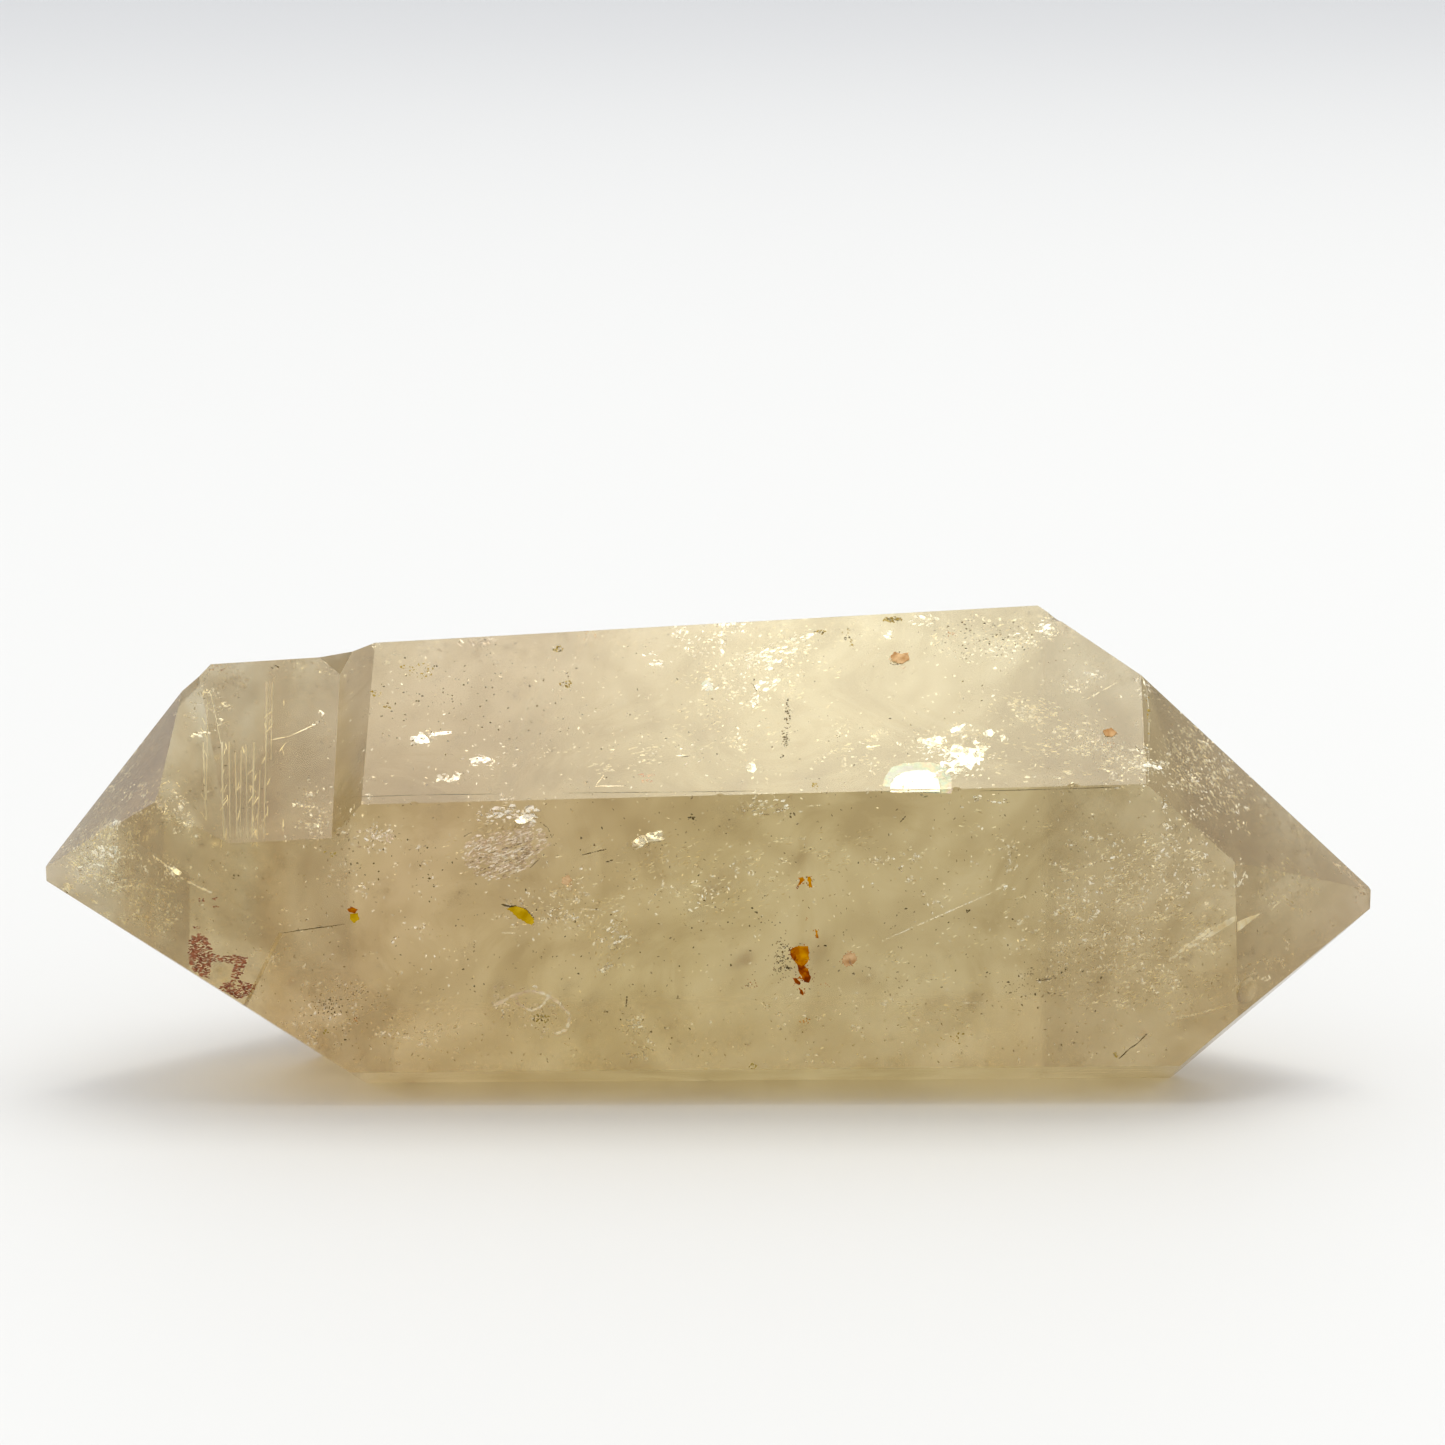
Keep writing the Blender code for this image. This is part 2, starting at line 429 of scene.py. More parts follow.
# %% Flakes
FLAKE_SHARE = 0.5      # part of its full ellipse that a ragged flake covers
FLAKE_BULGE = 0.05     # height of its raised points, as a part of its radius
CORNER_DRIFT = 0.3     # how far a corner moves along the rim, as a part of a side
FACE_WOBBLE = 4.0      # degrees, for flakes in the surface and for slivers
WAY_SPREAD = 12.0      # degrees that a flake turns away from the common way
CROWDING = 0.6         # 0.5 spreads a cluster evenly, and more crowds it in the middle
CLUMP_SIZE = 14.0      # pixels
CLUMP_MEMBERS = 16
CLUMP_FLATNESS = 0.6   # height of a clump, as a part of its width
SLIVER_STEP = 2.5      # way from one sliver to the next, in widths of the line
SLIVER_REACH = 0.75    # half the length of a sliver, in steps
SLIVER_WIDTHS = (0.55, 0.45)  # part of the line's width at its ends, and what its middle adds
SLIVER_RAGGED = 0.3
SLIVER_DRIFT = 0.15    # how far a sliver strays off the line, in widths
GROUP_MEMBERS = 3      # size of the largest group on an unseen face, in usual groups
GROUP_FLATNESS = 0.5
GROUP_WAY_SPREAD = 25.0


def inside_outline(pixel, outline):
    """Whether a pixel lies inside an outline on the picture."""
    x, y = pixel
    crossings = 0
    for (x0, y0), (x1, y1) in zip(outline, outline[1:] + outline[:1]):
        if (y0 > y) != (y1 > y) and x < x0 + (y - y0) * (x1 - x0) / (y1 - y0):
            crossings += 1
    return crossings % 2 == 1


def outline_area(outline):
    """The area inside an outline, in square pixels."""
    pairs = zip(outline, outline[1:] + outline[:1])
    return abs(sum(x0 * y1 - x1 * y0 for (x0, y0), (x1, y1) in pairs)) / 2


def in_ellipse(middle, half_size, slant, angle, reach):
    """The pixel this way and this far out in an ellipse of the picture, which slants up to the right."""
    turn = radians(slant)
    wide, high = half_size[0] * reach * cos(angle), half_size[1] * reach * sin(angle)
    return (middle[0] + wide * cos(turn) + high * sin(turn),
            middle[1] - wide * sin(turn) + high * cos(turn))


def flakes_for(area, cover, size, stretch):
    """How many flakes cover this share of an area in square pixels."""
    return round(area * cover / (FLAKE_SHARE * pi * stretch * ((size[0] + size[1]) / 2) ** 2))


class Heap:
    """Collects thin closed flakes of one kind, all inside the stone or all in its surface."""

    def __init__(self, seed, on_face=False):
        self.dice = Random(seed)
        self.on_face = on_face
        self.points, self.faces = [], []

    def flake(self, middle, normal, radius, along=0.0, stretch=1.0, sides=6, ragged=0.5):
        """Adds one ragged lens. Along is the way of its long side on the picture, in degrees."""
        normal = normal.normalized()
        across = RIGHT * cos(radians(along)) + UP * sin(radians(along))
        first = (across - normal * across.dot(normal)).normalized()
        second = normal.cross(first)
        start = len(self.points)
        rim = []
        for corner in range(sides):
            angle = tau * (corner + self.dice.uniform(-CORNER_DRIFT, CORNER_DRIFT)) / sides
            reach = radius * (1 - ragged * self.dice.random())
            rim.append(middle + first * (reach * stretch * cos(angle)) + second * (reach * sin(angle)))
        bulge = normal * (radius * FLAKE_BULGE)
        corners = rim + [middle + bulge, middle - bulge]
        self.points += corners if self.on_face else [kept_inside(point) for point in corners]
        for corner in range(sides):
            following = (corner + 1) % sides
            self.faces.append((start + corner, start + following, start + sides))
            self.faces.append((start + following, start + corner, start + sides + 1))

    def wobbled(self, normal, wobble):
        """A normal turned by a random angle of about this many degrees."""
        spread = sin(radians(wobble))
        return (normal + Vector([self.dice.gauss(0, spread) for _ in range(3)])).normalized()

    def drop(self, pixel, size, depth, along=None, stretch=1.0, wobble=20.0, sides=6):
        """Adds one flake under or on a pixel. Sizes are in pixels and depths in millimetres."""
        deep = self.dice.uniform(*depth)
        try:
            place, normal = at_depth(pixel, 0 if self.on_face else deep * MM)
        except ValueError:
            return
        wobble = FACE_WOBBLE if self.on_face else wobble
        way = self.dice.uniform(0, 180) if along is None else along + self.dice.gauss(0, WAY_SPREAD)
        radius = self.dice.uniform(*size) * PIXEL
        self.flake(place, self.wobbled(normal, wobble), radius, way, stretch, sides)

    def cluster(self, middle, half_size, count, size, depth, slant=0.0, edge=0.0, **flake):
        """Drops flakes over an ellipse of the picture."""
        for _ in range(count):
            angle = self.dice.uniform(0, tau)
            reach = self.dice.uniform(edge, 1) ** CROWDING
            self.drop(in_ellipse(middle, half_size, slant, angle, reach), size, depth, **flake)

    def haze(self, middle, half_size, slant, cover, size, depth, **flake):
        """Clumps of flakes, large and small, that cover this share of an ellipse between them."""
        area = pi * half_size[0] * half_size[1]
        left = flakes_for(area, cover, size, flake.get("stretch", 1.0))
        while left > 0:
            angle, reach = self.dice.uniform(0, tau), sqrt(self.dice.random())
            clump = in_ellipse(middle, half_size, slant, angle, reach)
            spread = CLUMP_SIZE * self.dice.uniform(0.3, 1.0) ** 2
            members = min(left, 1 + int(CLUMP_MEMBERS * self.dice.random() ** 2))
            for _ in range(members):
                pixel = (clump[0] + self.dice.gauss(0, spread),
                         clump[1] + self.dice.gauss(0, spread * CLUMP_FLATNESS))
                self.drop(pixel, size, depth, **flake)
            left -= members

    def fill(self, outline, cover, size, depth, **flake):
        """Drops flakes inside an outline until they cover this share of it."""
        columns, rows = zip(*outline)
        for _ in range(flakes_for(outline_area(outline), cover, size, flake.get("stretch", 1.0))):
            pixel = (0, 0)
            while not inside_outline(pixel, outline):
                pixel = (self.dice.uniform(min(columns), max(columns)),
                         self.dice.uniform(min(rows), max(rows)))
            self.drop(pixel, size, depth, **flake)

    def line(self, ends, width, depth, gaps=0.0):
        """Adds overlapping slivers along a line on the picture, thin at both ends."""
        (x0, y0), (x1, y1) = ends
        length = sqrt((x1 - x0) ** 2 + (y1 - y0) ** 2)
        count = max(1, int(length / (width * SLIVER_STEP)))
        way = degrees(atan2(y0 - y1, x1 - x0))
        stretch = length / count / width * SLIVER_REACH
        for step in range(count):
            share = (step + 0.5) / count
            if self.dice.random() < gaps:
                continue
            pixel = (x0 + (x1 - x0) * share,
                     y0 + (y1 - y0) * share + self.dice.gauss(0, width * SLIVER_DRIFT))
            try:
                place, normal = at_depth(pixel, 0 if self.on_face else depth * MM)
            except ValueError:
                continue
            size = width * (SLIVER_WIDTHS[0] + SLIVER_WIDTHS[1] * sin(pi * share)) * PIXEL
            turned = self.wobbled(normal, FACE_WOBBLE)
            self.flake(place, turned, size, way, stretch, ragged=SLIVER_RAGGED)

    def trail(self, points, width, depth, gaps=0.0):
        """Adds slivers along a line of several points."""
        for ends in zip(points, points[1:]):
            self.line(ends, width, depth, gaps)

    def strew(self, groups, members, spread, size, depth, stretch=1.0, wobble=30.0, sides=5):
        """Adds loose groups of flakes at the faces that the photograph doesn't show."""
        for _ in range(groups):
            place, normal = unseen_place(self.dice)
            first = normal.orthogonal().normalized()
            second = normal.cross(first)
            reach = spread * self.dice.uniform(0.15, 1.0) * PIXEL
            way = self.dice.uniform(0, 180)
            for _ in range(round(members * self.dice.random() ** 2 * GROUP_MEMBERS)):
                deep = max(self.dice.uniform(*depth) * MM, 2 * SKIN)
                point = place - normal * deep
                sideways = self.dice.gauss(0, reach)
                point += first * sideways + second * self.dice.gauss(0, reach * GROUP_FLATNESS)
                outward = normal
                if self.on_face:
                    point, outward, _, _ = solid.find_nearest(point)
                radius = self.dice.uniform(*size) * PIXEL
                turned = way + self.dice.gauss(0, GROUP_WAY_SPREAD)
                lean = FACE_WOBBLE if self.on_face else wobble
                self.flake(point, self.wobbled(outward, lean), radius, turned, stretch, sides)

    def become(self, name, material):
        """Turns the heap into one mesh object that rides with the crystal."""
        mesh = bpy.data.meshes.new(name)
        mesh.from_pydata([tuple(point) for point in self.points], [], self.faces)
        mesh.materials.append(material)
        piece = bpy.data.objects.new(name, mesh)
        bpy.context.scene.collection.objects.link(piece)
        take_along(piece)


def take_along(piece):
    """Turns a piece's faces outwards and lets it ride with the crystal."""
    only(piece)
    bpy.ops.object.mode_set(mode="EDIT")
    bpy.ops.mesh.select_all(action="SELECT")
    bpy.ops.mesh.normals_make_consistent(inside=False)
    bpy.ops.object.mode_set(mode="OBJECT")
    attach(piece, "root")
    print(piece.name, "has", len(piece.data.polygons), "faces")


# %% [markdown]
# ## The finishes inside
#
# A fracture is a thin gap of air, and light bounces off it as off a mirror, so it gets a metallic
# finish with a faint rainbow. Milky crumbs and pearly films are as bright in clear stone, so they mirror
# light too, but roughly. The stains are dull iron: orange where it is thin, red-brown where it is thick.

# %% The finishes inside
MOTTLE_DETAIL = 2.0
MOTTLE_START = 0.35
MOTTLE_SPAN = 0.3


def mottled(name, scale, colours, **values):
    """A finish whose colour drifts between a few colours, by the place on the piece."""
    material, shader = principled(name, **values)
    grain = noise(material.node_tree, scale, MOTTLE_DETAIL)
    last = len(colours) - 1
    ramp = colour_ramp(
        material.node_tree,
        [(MOTTLE_START + MOTTLE_SPAN * number / last, colour) for number, colour in enumerate(colours)],
    )
    material.node_tree.links.new(grain.outputs["Fac"], ramp.inputs["Fac"])
    material.node_tree.links.new(ramp.outputs["Color"], shader.inputs["Base Color"])
    return material


# Finishes that mirror light, each with the scale of its mottling, its roughness and its colours
MIRRORS = {
    "air_fracture": (900.0, 0.22, (0.98, 0.92, 0.82), (0.98, 0.96, 0.90), (0.96, 0.97, 0.90),
                     (0.98, 0.94, 0.82)),
    # The crumbled quartz finish also paints the highlight along the ridge at the lower left
    "crumbled_quartz_and_ridge_highlight": (1500.0, 0.40, (0.93, 0.82, 0.58), (0.98, 0.93, 0.78), (0.97, 0.96, 0.92)),
    "creamy_veil": (700.0, 0.45, (0.94, 0.84, 0.56), (0.98, 0.93, 0.72)),
    # The pearly finish also paints a reflection along the narrow faces of the lower rim
    "pearly_film_and_painted_rim_reflection": (1200.0, 0.40, (0.80, 0.68, 0.56), (0.95, 0.87, 0.76), (0.98, 0.95, 0.88)),
}
silver, milk_and_ridge_highlight, cream, pearl_and_rim_reflection = [
    mottled(name, scale, colours, Metallic=1.0, Roughness=roughness)
    for name, (scale, roughness, *colours) in MIRRORS.items()
]
# Dull films, each with the scale of its mottling and its colours
FILM_ROUGHNESS = 0.5
FILMS = {
    # The rainbow film is painted iridescence: fixed rainbow colours in a dull finish
    "painted_iridescent_film": (700.0, (0.80, 0.62, 0.72), (0.82, 0.76, 0.52), (0.60, 0.76, 0.66), (0.66, 0.72, 0.82)),
    "growth_band": (500.0, (0.62, 0.56, 0.40), (0.72, 0.66, 0.50)),
    "pearly_ground": (500.0, (0.66, 0.54, 0.36), (0.84, 0.72, 0.54)),
    # The smoky film is also the painted shade in the folds of the pearly film
    "smoky_film_and_painted_fold_shade": (1200.0, (0.20, 0.14, 0.06), (0.36, 0.28, 0.14)),
    "iron_rust": (1500.0, (0.12, 0.015, 0.0), (0.26, 0.045, 0.0), (0.44, 0.14, 0.0)),
    "amber_iron": (1300.0, (0.36, 0.10, 0.0), (0.60, 0.27, 0.0)),
    "golden_iron": (900.0, (0.40, 0.23, 0.0), (0.56, 0.36, 0.01)),
    "pale_rust": (1500.0, (0.40, 0.21, 0.08), (0.62, 0.41, 0.21)),
    "hematite_film": (2500.0, (0.16, 0.04, 0.02), (0.34, 0.12, 0.06)),
    # The dark speck finish also paints the fine shade lines along the ridge
    "dark_specks_and_painted_ridge_shade": (1500.0, (0.05, 0.035, 0.01), (0.16, 0.11, 0.04)),
    "olive_stain": (900.0, (0.28, 0.19, 0.03), (0.42, 0.31, 0.09)),
}
painted_iridescence, line_finish, pearl_ground, smoke_and_fold_shade, rust, amber, gold, pale_rust, hematite, specks_and_ridge_shade_finish, olive = [
    mottled(name, scale, colours, Roughness=FILM_ROUGHNESS, Specular_IOR_Level=0.0)
    for name, (scale, *colours) in FILMS.items()
]
print("finishes ready")

# %% [markdown]
# ## Plates
#
# The clearest marks in the photograph are fractures that mirror the softbox, and the iron stains.
# Each is a thin ragged plate cut to its outline on the picture: a filled circle whose corners are moved,
# roughened along its rim and given a little thickness. Plates of one kind are joined into one piece.

# %% Plates
UPPER_PLANE = facing(52, 0)
LOWER_PLANE = facing(40, 0)
PLATE_THICKNESS = 0.04 * MM
RIM_CUTS = 3


def cut_plate(name, outline, depth, plane, material, ragged=0.9):
    """A thin plate with a ragged outline given in pixels. With no plane it lies along the face."""
    middle_pixel = [sum(pixel[axis] for pixel in outline) / len(outline) for axis in (0, 1)]
    middle, face = at_depth(middle_pixel, depth * MM)
    plane = plane or face
    bpy.ops.object.select_all(action="DESELECT")
    bpy.ops.mesh.primitive_circle_add(vertices=len(outline), radius=PIXEL, fill_type="NGON")
    plate = bpy.context.object
    plate.name = name
    for vertex, pixel in zip(plate.data.vertices, outline):
        place, inward, _ = look_into(pixel)
        vertex.co = place + inward * ((middle - place).dot(plane) / inward.dot(plane))
    bpy.ops.object.mode_set(mode="EDIT")
    bpy.ops.mesh.select_all(action="SELECT")
    bpy.ops.mesh.subdivide(number_cuts=RIM_CUTS)
    bpy.ops.transform.vertex_random(offset=ragged * PIXEL, seed=len(name))
    bpy.ops.mesh.quads_convert_to_tris()
    bpy.ops.object.mode_set(mode="OBJECT")
    skin = plate.modifiers.new("thickness", "SOLIDIFY")
    skin.thickness = PLATE_THICKNESS
    bpy.ops.object.modifier_apply(modifier=skin.name)
    if depth > 0:
        for vertex in plate.data.vertices:
            vertex.co = kept_inside(vertex.co)
    plate.data.materials.append(material)
    return plate


def join(pieces, name):
    """Joins pieces into one that rides with the crystal."""
    bpy.ops.object.select_all(action="DESELECT")
    for piece in pieces:
        piece.select_set(True)
    bpy.context.view_layer.objects.active = pieces[0]
    bpy.ops.object.join()
    whole = bpy.context.object
    whole.name = name
    bpy.ops.object.transform_apply(location=True, rotation=True, scale=True)
    take_along(whole)


# %% [markdown]
# ## Silver flashes
#
# The brightest marks are cracks that mirror the softbox. One plane is turned so that it sends that light
# to the camera through the upper face, and another one does so through the lower face. The largest crack
# has an iridescent rim, where its gap is thinnest. That rainbow is painted iridescence: a wider dull plate
# in fixed rainbow colours lies just behind the crack, and a small one sits higher up.

# %% Silver flashes
UPPER_FLASHES = {
    "great_flash": (((890, 789), (892, 781), (899, 774), (910, 771), (928, 770), (936, 774), (939, 780),
                     (940, 789)), 0.8),
    "flash_middle": (((954, 743), (963, 747), (974, 749), (989, 748), (981, 754), (984, 760), (976, 763),
                      (971, 770), (963, 765), (954, 768), (947, 764), (956, 759), (948, 752)), 0.7),
    "flash_upper": (((920, 740), (930, 738), (940, 736), (944, 741), (938, 744), (931, 749), (923, 746)),
                    0.6),
    "flash_small": (((950, 730), (958, 726), (968, 723), (960, 730), (952, 733)), 0.5),
    "flash_far_right": (((985, 731), (991, 729), (995, 733), (991, 737), (986, 736)), 0.5),
    "flash_last": (((1000, 736), (1004, 734), (1006, 739), (1002, 742)), 0.5),
    "star": (((412, 740), (417, 737), (420, 732), (425, 735), (430, 741), (424, 744), (417, 743)), 0.6),
    "star_arm": (((428, 734), (440, 732), (451, 731), (452, 734), (440, 735), (430, 737)), 0.6),
    "left_patch": (((471, 761), (478, 758), (488, 757), (493, 761), (484, 763), (474, 763)), 0.6),
    "hook": (((440, 779), (450, 779), (457, 776), (455, 771), (460, 774), (459, 780), (448, 782)), 0.6),
    "round_dot": (((746, 766), (749, 763), (755, 764), (757, 769), (753, 773), (747, 771)), 0.6),
}
LOWER_FLASHES = {
    "lower_sliver": (((631, 843), (640, 836), (648, 834), (655, 832), (662, 831), (660, 836), (665, 840),
                      (655, 841), (646, 843), (641, 848), (637, 844)), 0.7),
    "crinkle_cap": (((515, 820), (524, 815), (535, 814), (533, 819), (524, 824), (517, 824)), 0.5),
    "left_chip": (((170, 868), (176, 868), (182, 873), (180, 876), (173, 873)), 0.4),
    "left_tip_spot": (((63, 884), (68, 883), (71, 888), (68, 893), (64, 889)), 0.3),
}
# Painted iridescence: dull plates in rainbow colours behind the great flash and at one small speck
PAINTED_IRIDESCENT_RIMS = {
    "great_flash_rim": (((883, 791), (884, 779), (891, 768), (904, 763), (930, 762), (946, 766),
                         (951, 778), (953, 791)), 1.0),
    "rainbow_speck": (((701, 684), (706, 680), (712, 684), (713, 690), (706, 691)), 0.6),
}
fractures_and_painted_iridescence = [
    cut_plate(name, outline, depth, plane, finish)
    for flashes, plane, finish in (
        (UPPER_FLASHES, UPPER_PLANE, silver),
        (LOWER_FLASHES, LOWER_PLANE, silver),
        (PAINTED_IRIDESCENT_RIMS, UPPER_PLANE, painted_iridescence),
    )
    for name, (outline, depth) in flashes.items()
]
join(fractures_and_painted_iridescence, "fractures_and_painted_iridescence")

# %% [markdown]
# ## Stain plates and growth lines
#
# The larger iron stains are films with a clear outline, so they are plates too. They lie in the surface,
# where no sheen of the stone dulls them. The floor of the ledge shows fine upright growth lines. Each is
# a narrow pale strip just under it, ragged like the other plates, as such lines are never quite even.

# %% Stain plates and growth lines
STAINS = {
    "amber_lens": (((507, 909), (511, 907), (519, 907), (526, 909), (530, 914), (534, 919), (534, 923),
                    (532, 925), (528, 924), (523, 921), (518, 918), (514, 914), (511, 911)), gold),
    "rust_body": (((790, 952), (793, 948), (799, 946), (808, 946), (809, 954), (808, 962), (803, 966),
                   (797, 964), (793, 958)), amber),
    "rust_edge": (((790, 950), (793, 947), (795, 952), (797, 958), (799, 964), (795, 962), (791, 957)),
                  rust),
    "rust_core": (((797, 964), (803, 964), (808, 969), (811, 977), (809, 983), (804, 982), (800, 975)),
                  rust),
    "rust_crumb": (((793, 978), (797, 978), (801, 983), (799, 985), (795, 983)), rust),
    "rust_crumb_low": (((799, 988), (802, 990), (804, 995), (801, 994)), rust),
    "rust_dot": (((815, 929), (818, 932), (818, 938), (816, 937)), amber),
    "rust_bar": (((807, 876), (811, 877), (812, 887), (809, 888), (808, 882)), amber),
    "rust_hook": (((798, 878), (803, 877), (805, 880), (801, 884), (797, 886), (800, 882)), amber),
    "tan_patch": (((843, 956), (849, 952), (855, 954), (857, 960), (853, 964), (846, 967), (842, 963)),
                  pale_rust),
    "tan_pair": (((890, 657), (894, 652), (901, 654), (908, 653), (909, 660), (902, 664), (893, 662)),
                 pale_rust),
    "left_rust": (((347, 909), (353, 907), (358, 910), (355, 913), (349, 912)), rust),
    "left_gold": (((350, 914), (358, 913), (359, 920), (354, 923), (350, 919)), gold),
    "pink_dot": (((562, 877), (569, 875), (572, 880), (568, 885), (562, 884)), pale_rust),
    "red_dot": (((1103, 731), (1111, 728), (1117, 733), (1112, 737), (1105, 736)), pale_rust),
}
# Millimetres, so a stain stands this little proud of the surface
STAIN_DEPTH = -0.02
STAIN_RAGGED = 1.0
# Growth lines of the ledge floor: (x at the top, top, x at the foot, foot, width)
GROWTH_LINES = (
    (203, 742, 206, 820, 1.3), (207, 692, 206, 800, 0.9), (210, 690, 221, 744, 0.8),
    (222, 742, 224, 838, 1.5), (229, 742, 230, 838, 0.9), (235, 752, 237, 838, 1.1),
    (241, 750, 240, 838, 0.7), (246, 745, 247, 838, 0.9), (254, 742, 252, 838, 1.5),
    (260, 770, 257, 838, 0.8), (267, 682, 264, 838, 1.1), (272, 682, 271, 760, 0.7),
)
LINE_DEPTH = 0.25
LINE_RAGGED = 0.25
plates = [
    cut_plate(name, outline, STAIN_DEPTH, None, finish, STAIN_RAGGED)
    for name, (outline, finish) in STAINS.items()
]
for x_top, top, x_foot, foot, width in GROWTH_LINES:
    half = width / 2
    strip = ((x_top - half, top), (x_top + half, top), (x_foot + half, foot), (x_foot - half, foot))
    plates.append(cut_plate("growth_line", strip, LINE_DEPTH, None, line_finish, LINE_RAGGED))
join(plates, "stains_and_growth_lines")

# %% [markdown]
# ## Glints
#
# Round the flashes, and all over the stone, the fractures break up into glints. Many of them are long
# and lie side by side, because quartz likes to break along the same few ways.

# %% Glints
# Middle pixel, half width and half height, slant, way of the glints (None is any way) and their number
GLINTS = (
    ((918, 776), (34, 14), 0, 20, 26), ((962, 754), (32, 20), 0, 30, 60),
    ((935, 752), (22, 10), 0, None, 24), ((960, 772), (20, 6), 10, 20, 14),
    ((425, 737), (22, 7), 10, 15, 14), ((482, 761), (22, 6), 0, 10, 14), ((450, 777), (14, 6), 0, 20, 9),
    ((724, 622), (14, 5), 0, 90, 26), ((722, 640), (4, 16), 0, 90, 12),
    ((736, 630), (12, 10), 60, 60, 10), ((690, 634), (10, 14), 60, 70, 14),
    ((779, 650), (38, 9), 18, 26, 48), ((752, 660), (12, 8), 0, 40, 14),
    ((800, 636), (14, 6), 20, 26, 10), ((757, 690), (14, 5), 55, 50, 14),
    ((772, 684), (12, 4), 40, 40, 9), ((708, 686), (10, 8), 0, None, 9), ((742, 670), (14, 8), 0, 60, 9),
    ((756, 702), (5, 6), 0, None, 5), ((731, 701), (4, 3), 0, None, 3), ((660, 664), (14, 5), 0, -10, 10),
    ((650, 655), (8, 4), 0, -20, 5), ((765, 618), (6, 3), 0, None, 4), ((805, 618), (8, 3), 0, None, 4),
    ((200, 734), (11, 3), 10, 10, 12), ((116, 822), (5, 4), 0, None, 6),
    ((106, 852), (15, 7), 10, 10, 44), ((92, 866), (22, 6), -20, -20, 16),
    ((146, 812), (6, 3), 0, None, 6), ((174, 804), (10, 10), 0, 90, 16), ((179, 831), (6, 5), 0, None, 7),
    ((186, 822), (8, 8), 0, 80, 8), ((68, 888), (5, 5), 0, None, 5), ((110, 880), (22, 8), -10, None, 10),
    ((150, 872), (12, 6), -20, None, 6), ((321, 711), (5, 4), 0, None, 4), ((315, 723), (6, 3), 0, 10, 4),
    ((340, 831), (10, 5), 0, None, 6), ((353, 812), (4, 4), 0, None, 4), ((370, 798), (8, 4), 0, None, 4),
    ((315, 822), (16, 14), 0, None, 10), ((376, 836), (14, 10), 0, None, 18),
    ((505, 813), (36, 7), 6, 15, 60), ((522, 818), (14, 5), 0, 10, 20), ((648, 840), (20, 8), 15, 15, 12),
    ((762, 806), (26, 9), 0, 10, 34), ((976, 798), (7, 3), 0, 0, 7), ((1000, 801), (12, 4), 0, 0, 9),
    ((925, 620), (16, 6), 0, 30, 22), ((889, 634), (4, 5), 0, None, 8),
    ((1043, 628), (14, 8), -20, None, 20), ((1020, 636), (10, 6), 0, None, 6),
    ((1150, 765), (18, 6), 0, 0, 30), ((1140, 750), (8, 5), 0, 0, 7), ((1165, 803), (4, 5), 0, None, 6),
    ((1094, 913), (7, 4), 0, 0, 7), ((1265, 979), (12, 5), -20, None, 12),
    ((1238, 985), (3, 7), 0, 90, 8), ((1240, 878), (9, 8), 0, None, 14),
    ((1226, 769), (22, 10), 0, 70, 12), ((1238, 810), (3, 8), 0, 75, 7), ((1287, 943), (3, 6), 0, -60, 4),
    ((1269, 905), (9, 2), 45, 45, 4), ((616, 938), (18, 12), 50, 30, 22),
    ((607, 967), (10, 4), 30, 30, 14), ((598, 939), (6, 3), 0, None, 5), ((596, 901), (5, 3), 0, None, 4),
    ((580, 867), (3, 3), 0, None, 3), ((560, 918), (28, 10), 0, None, 18),
    ((421, 846), (5, 3), 0, None, 4), ((395, 940), (4, 3), 0, None, 3), ((650, 1037), (4, 6), 0, 60, 6),
    ((634, 1024), (9, 10), 0, None, 12), ((634, 1056), (15, 2), 0, 0, 8),
    ((314, 1040), (6, 4), 0, None, 5), ((391, 1034), (10, 6), 0, None, 8),
    ((304, 966), (4, 3), 0, None, 3), ((363, 885), (4, 3), 0, None, 3),
    ((330, 1010), (44, 34), 30, None, 30), ((1010, 888), (8, 3), 0, 10, 5),
    ((903, 868), (6, 4), 0, None, 5), ((1068, 897), (40, 20), 0, None, 12),
    ((1160, 870), (60, 40), 0, None, 24), ((520, 1000), (44, 20), 0, None, 14),
    ((860, 748), (16, 5), 0, 10, 6), ((700, 760), (60, 20), 0, 15, 12),
    ((700, 905), (14, 14), 0, None, 8),
)
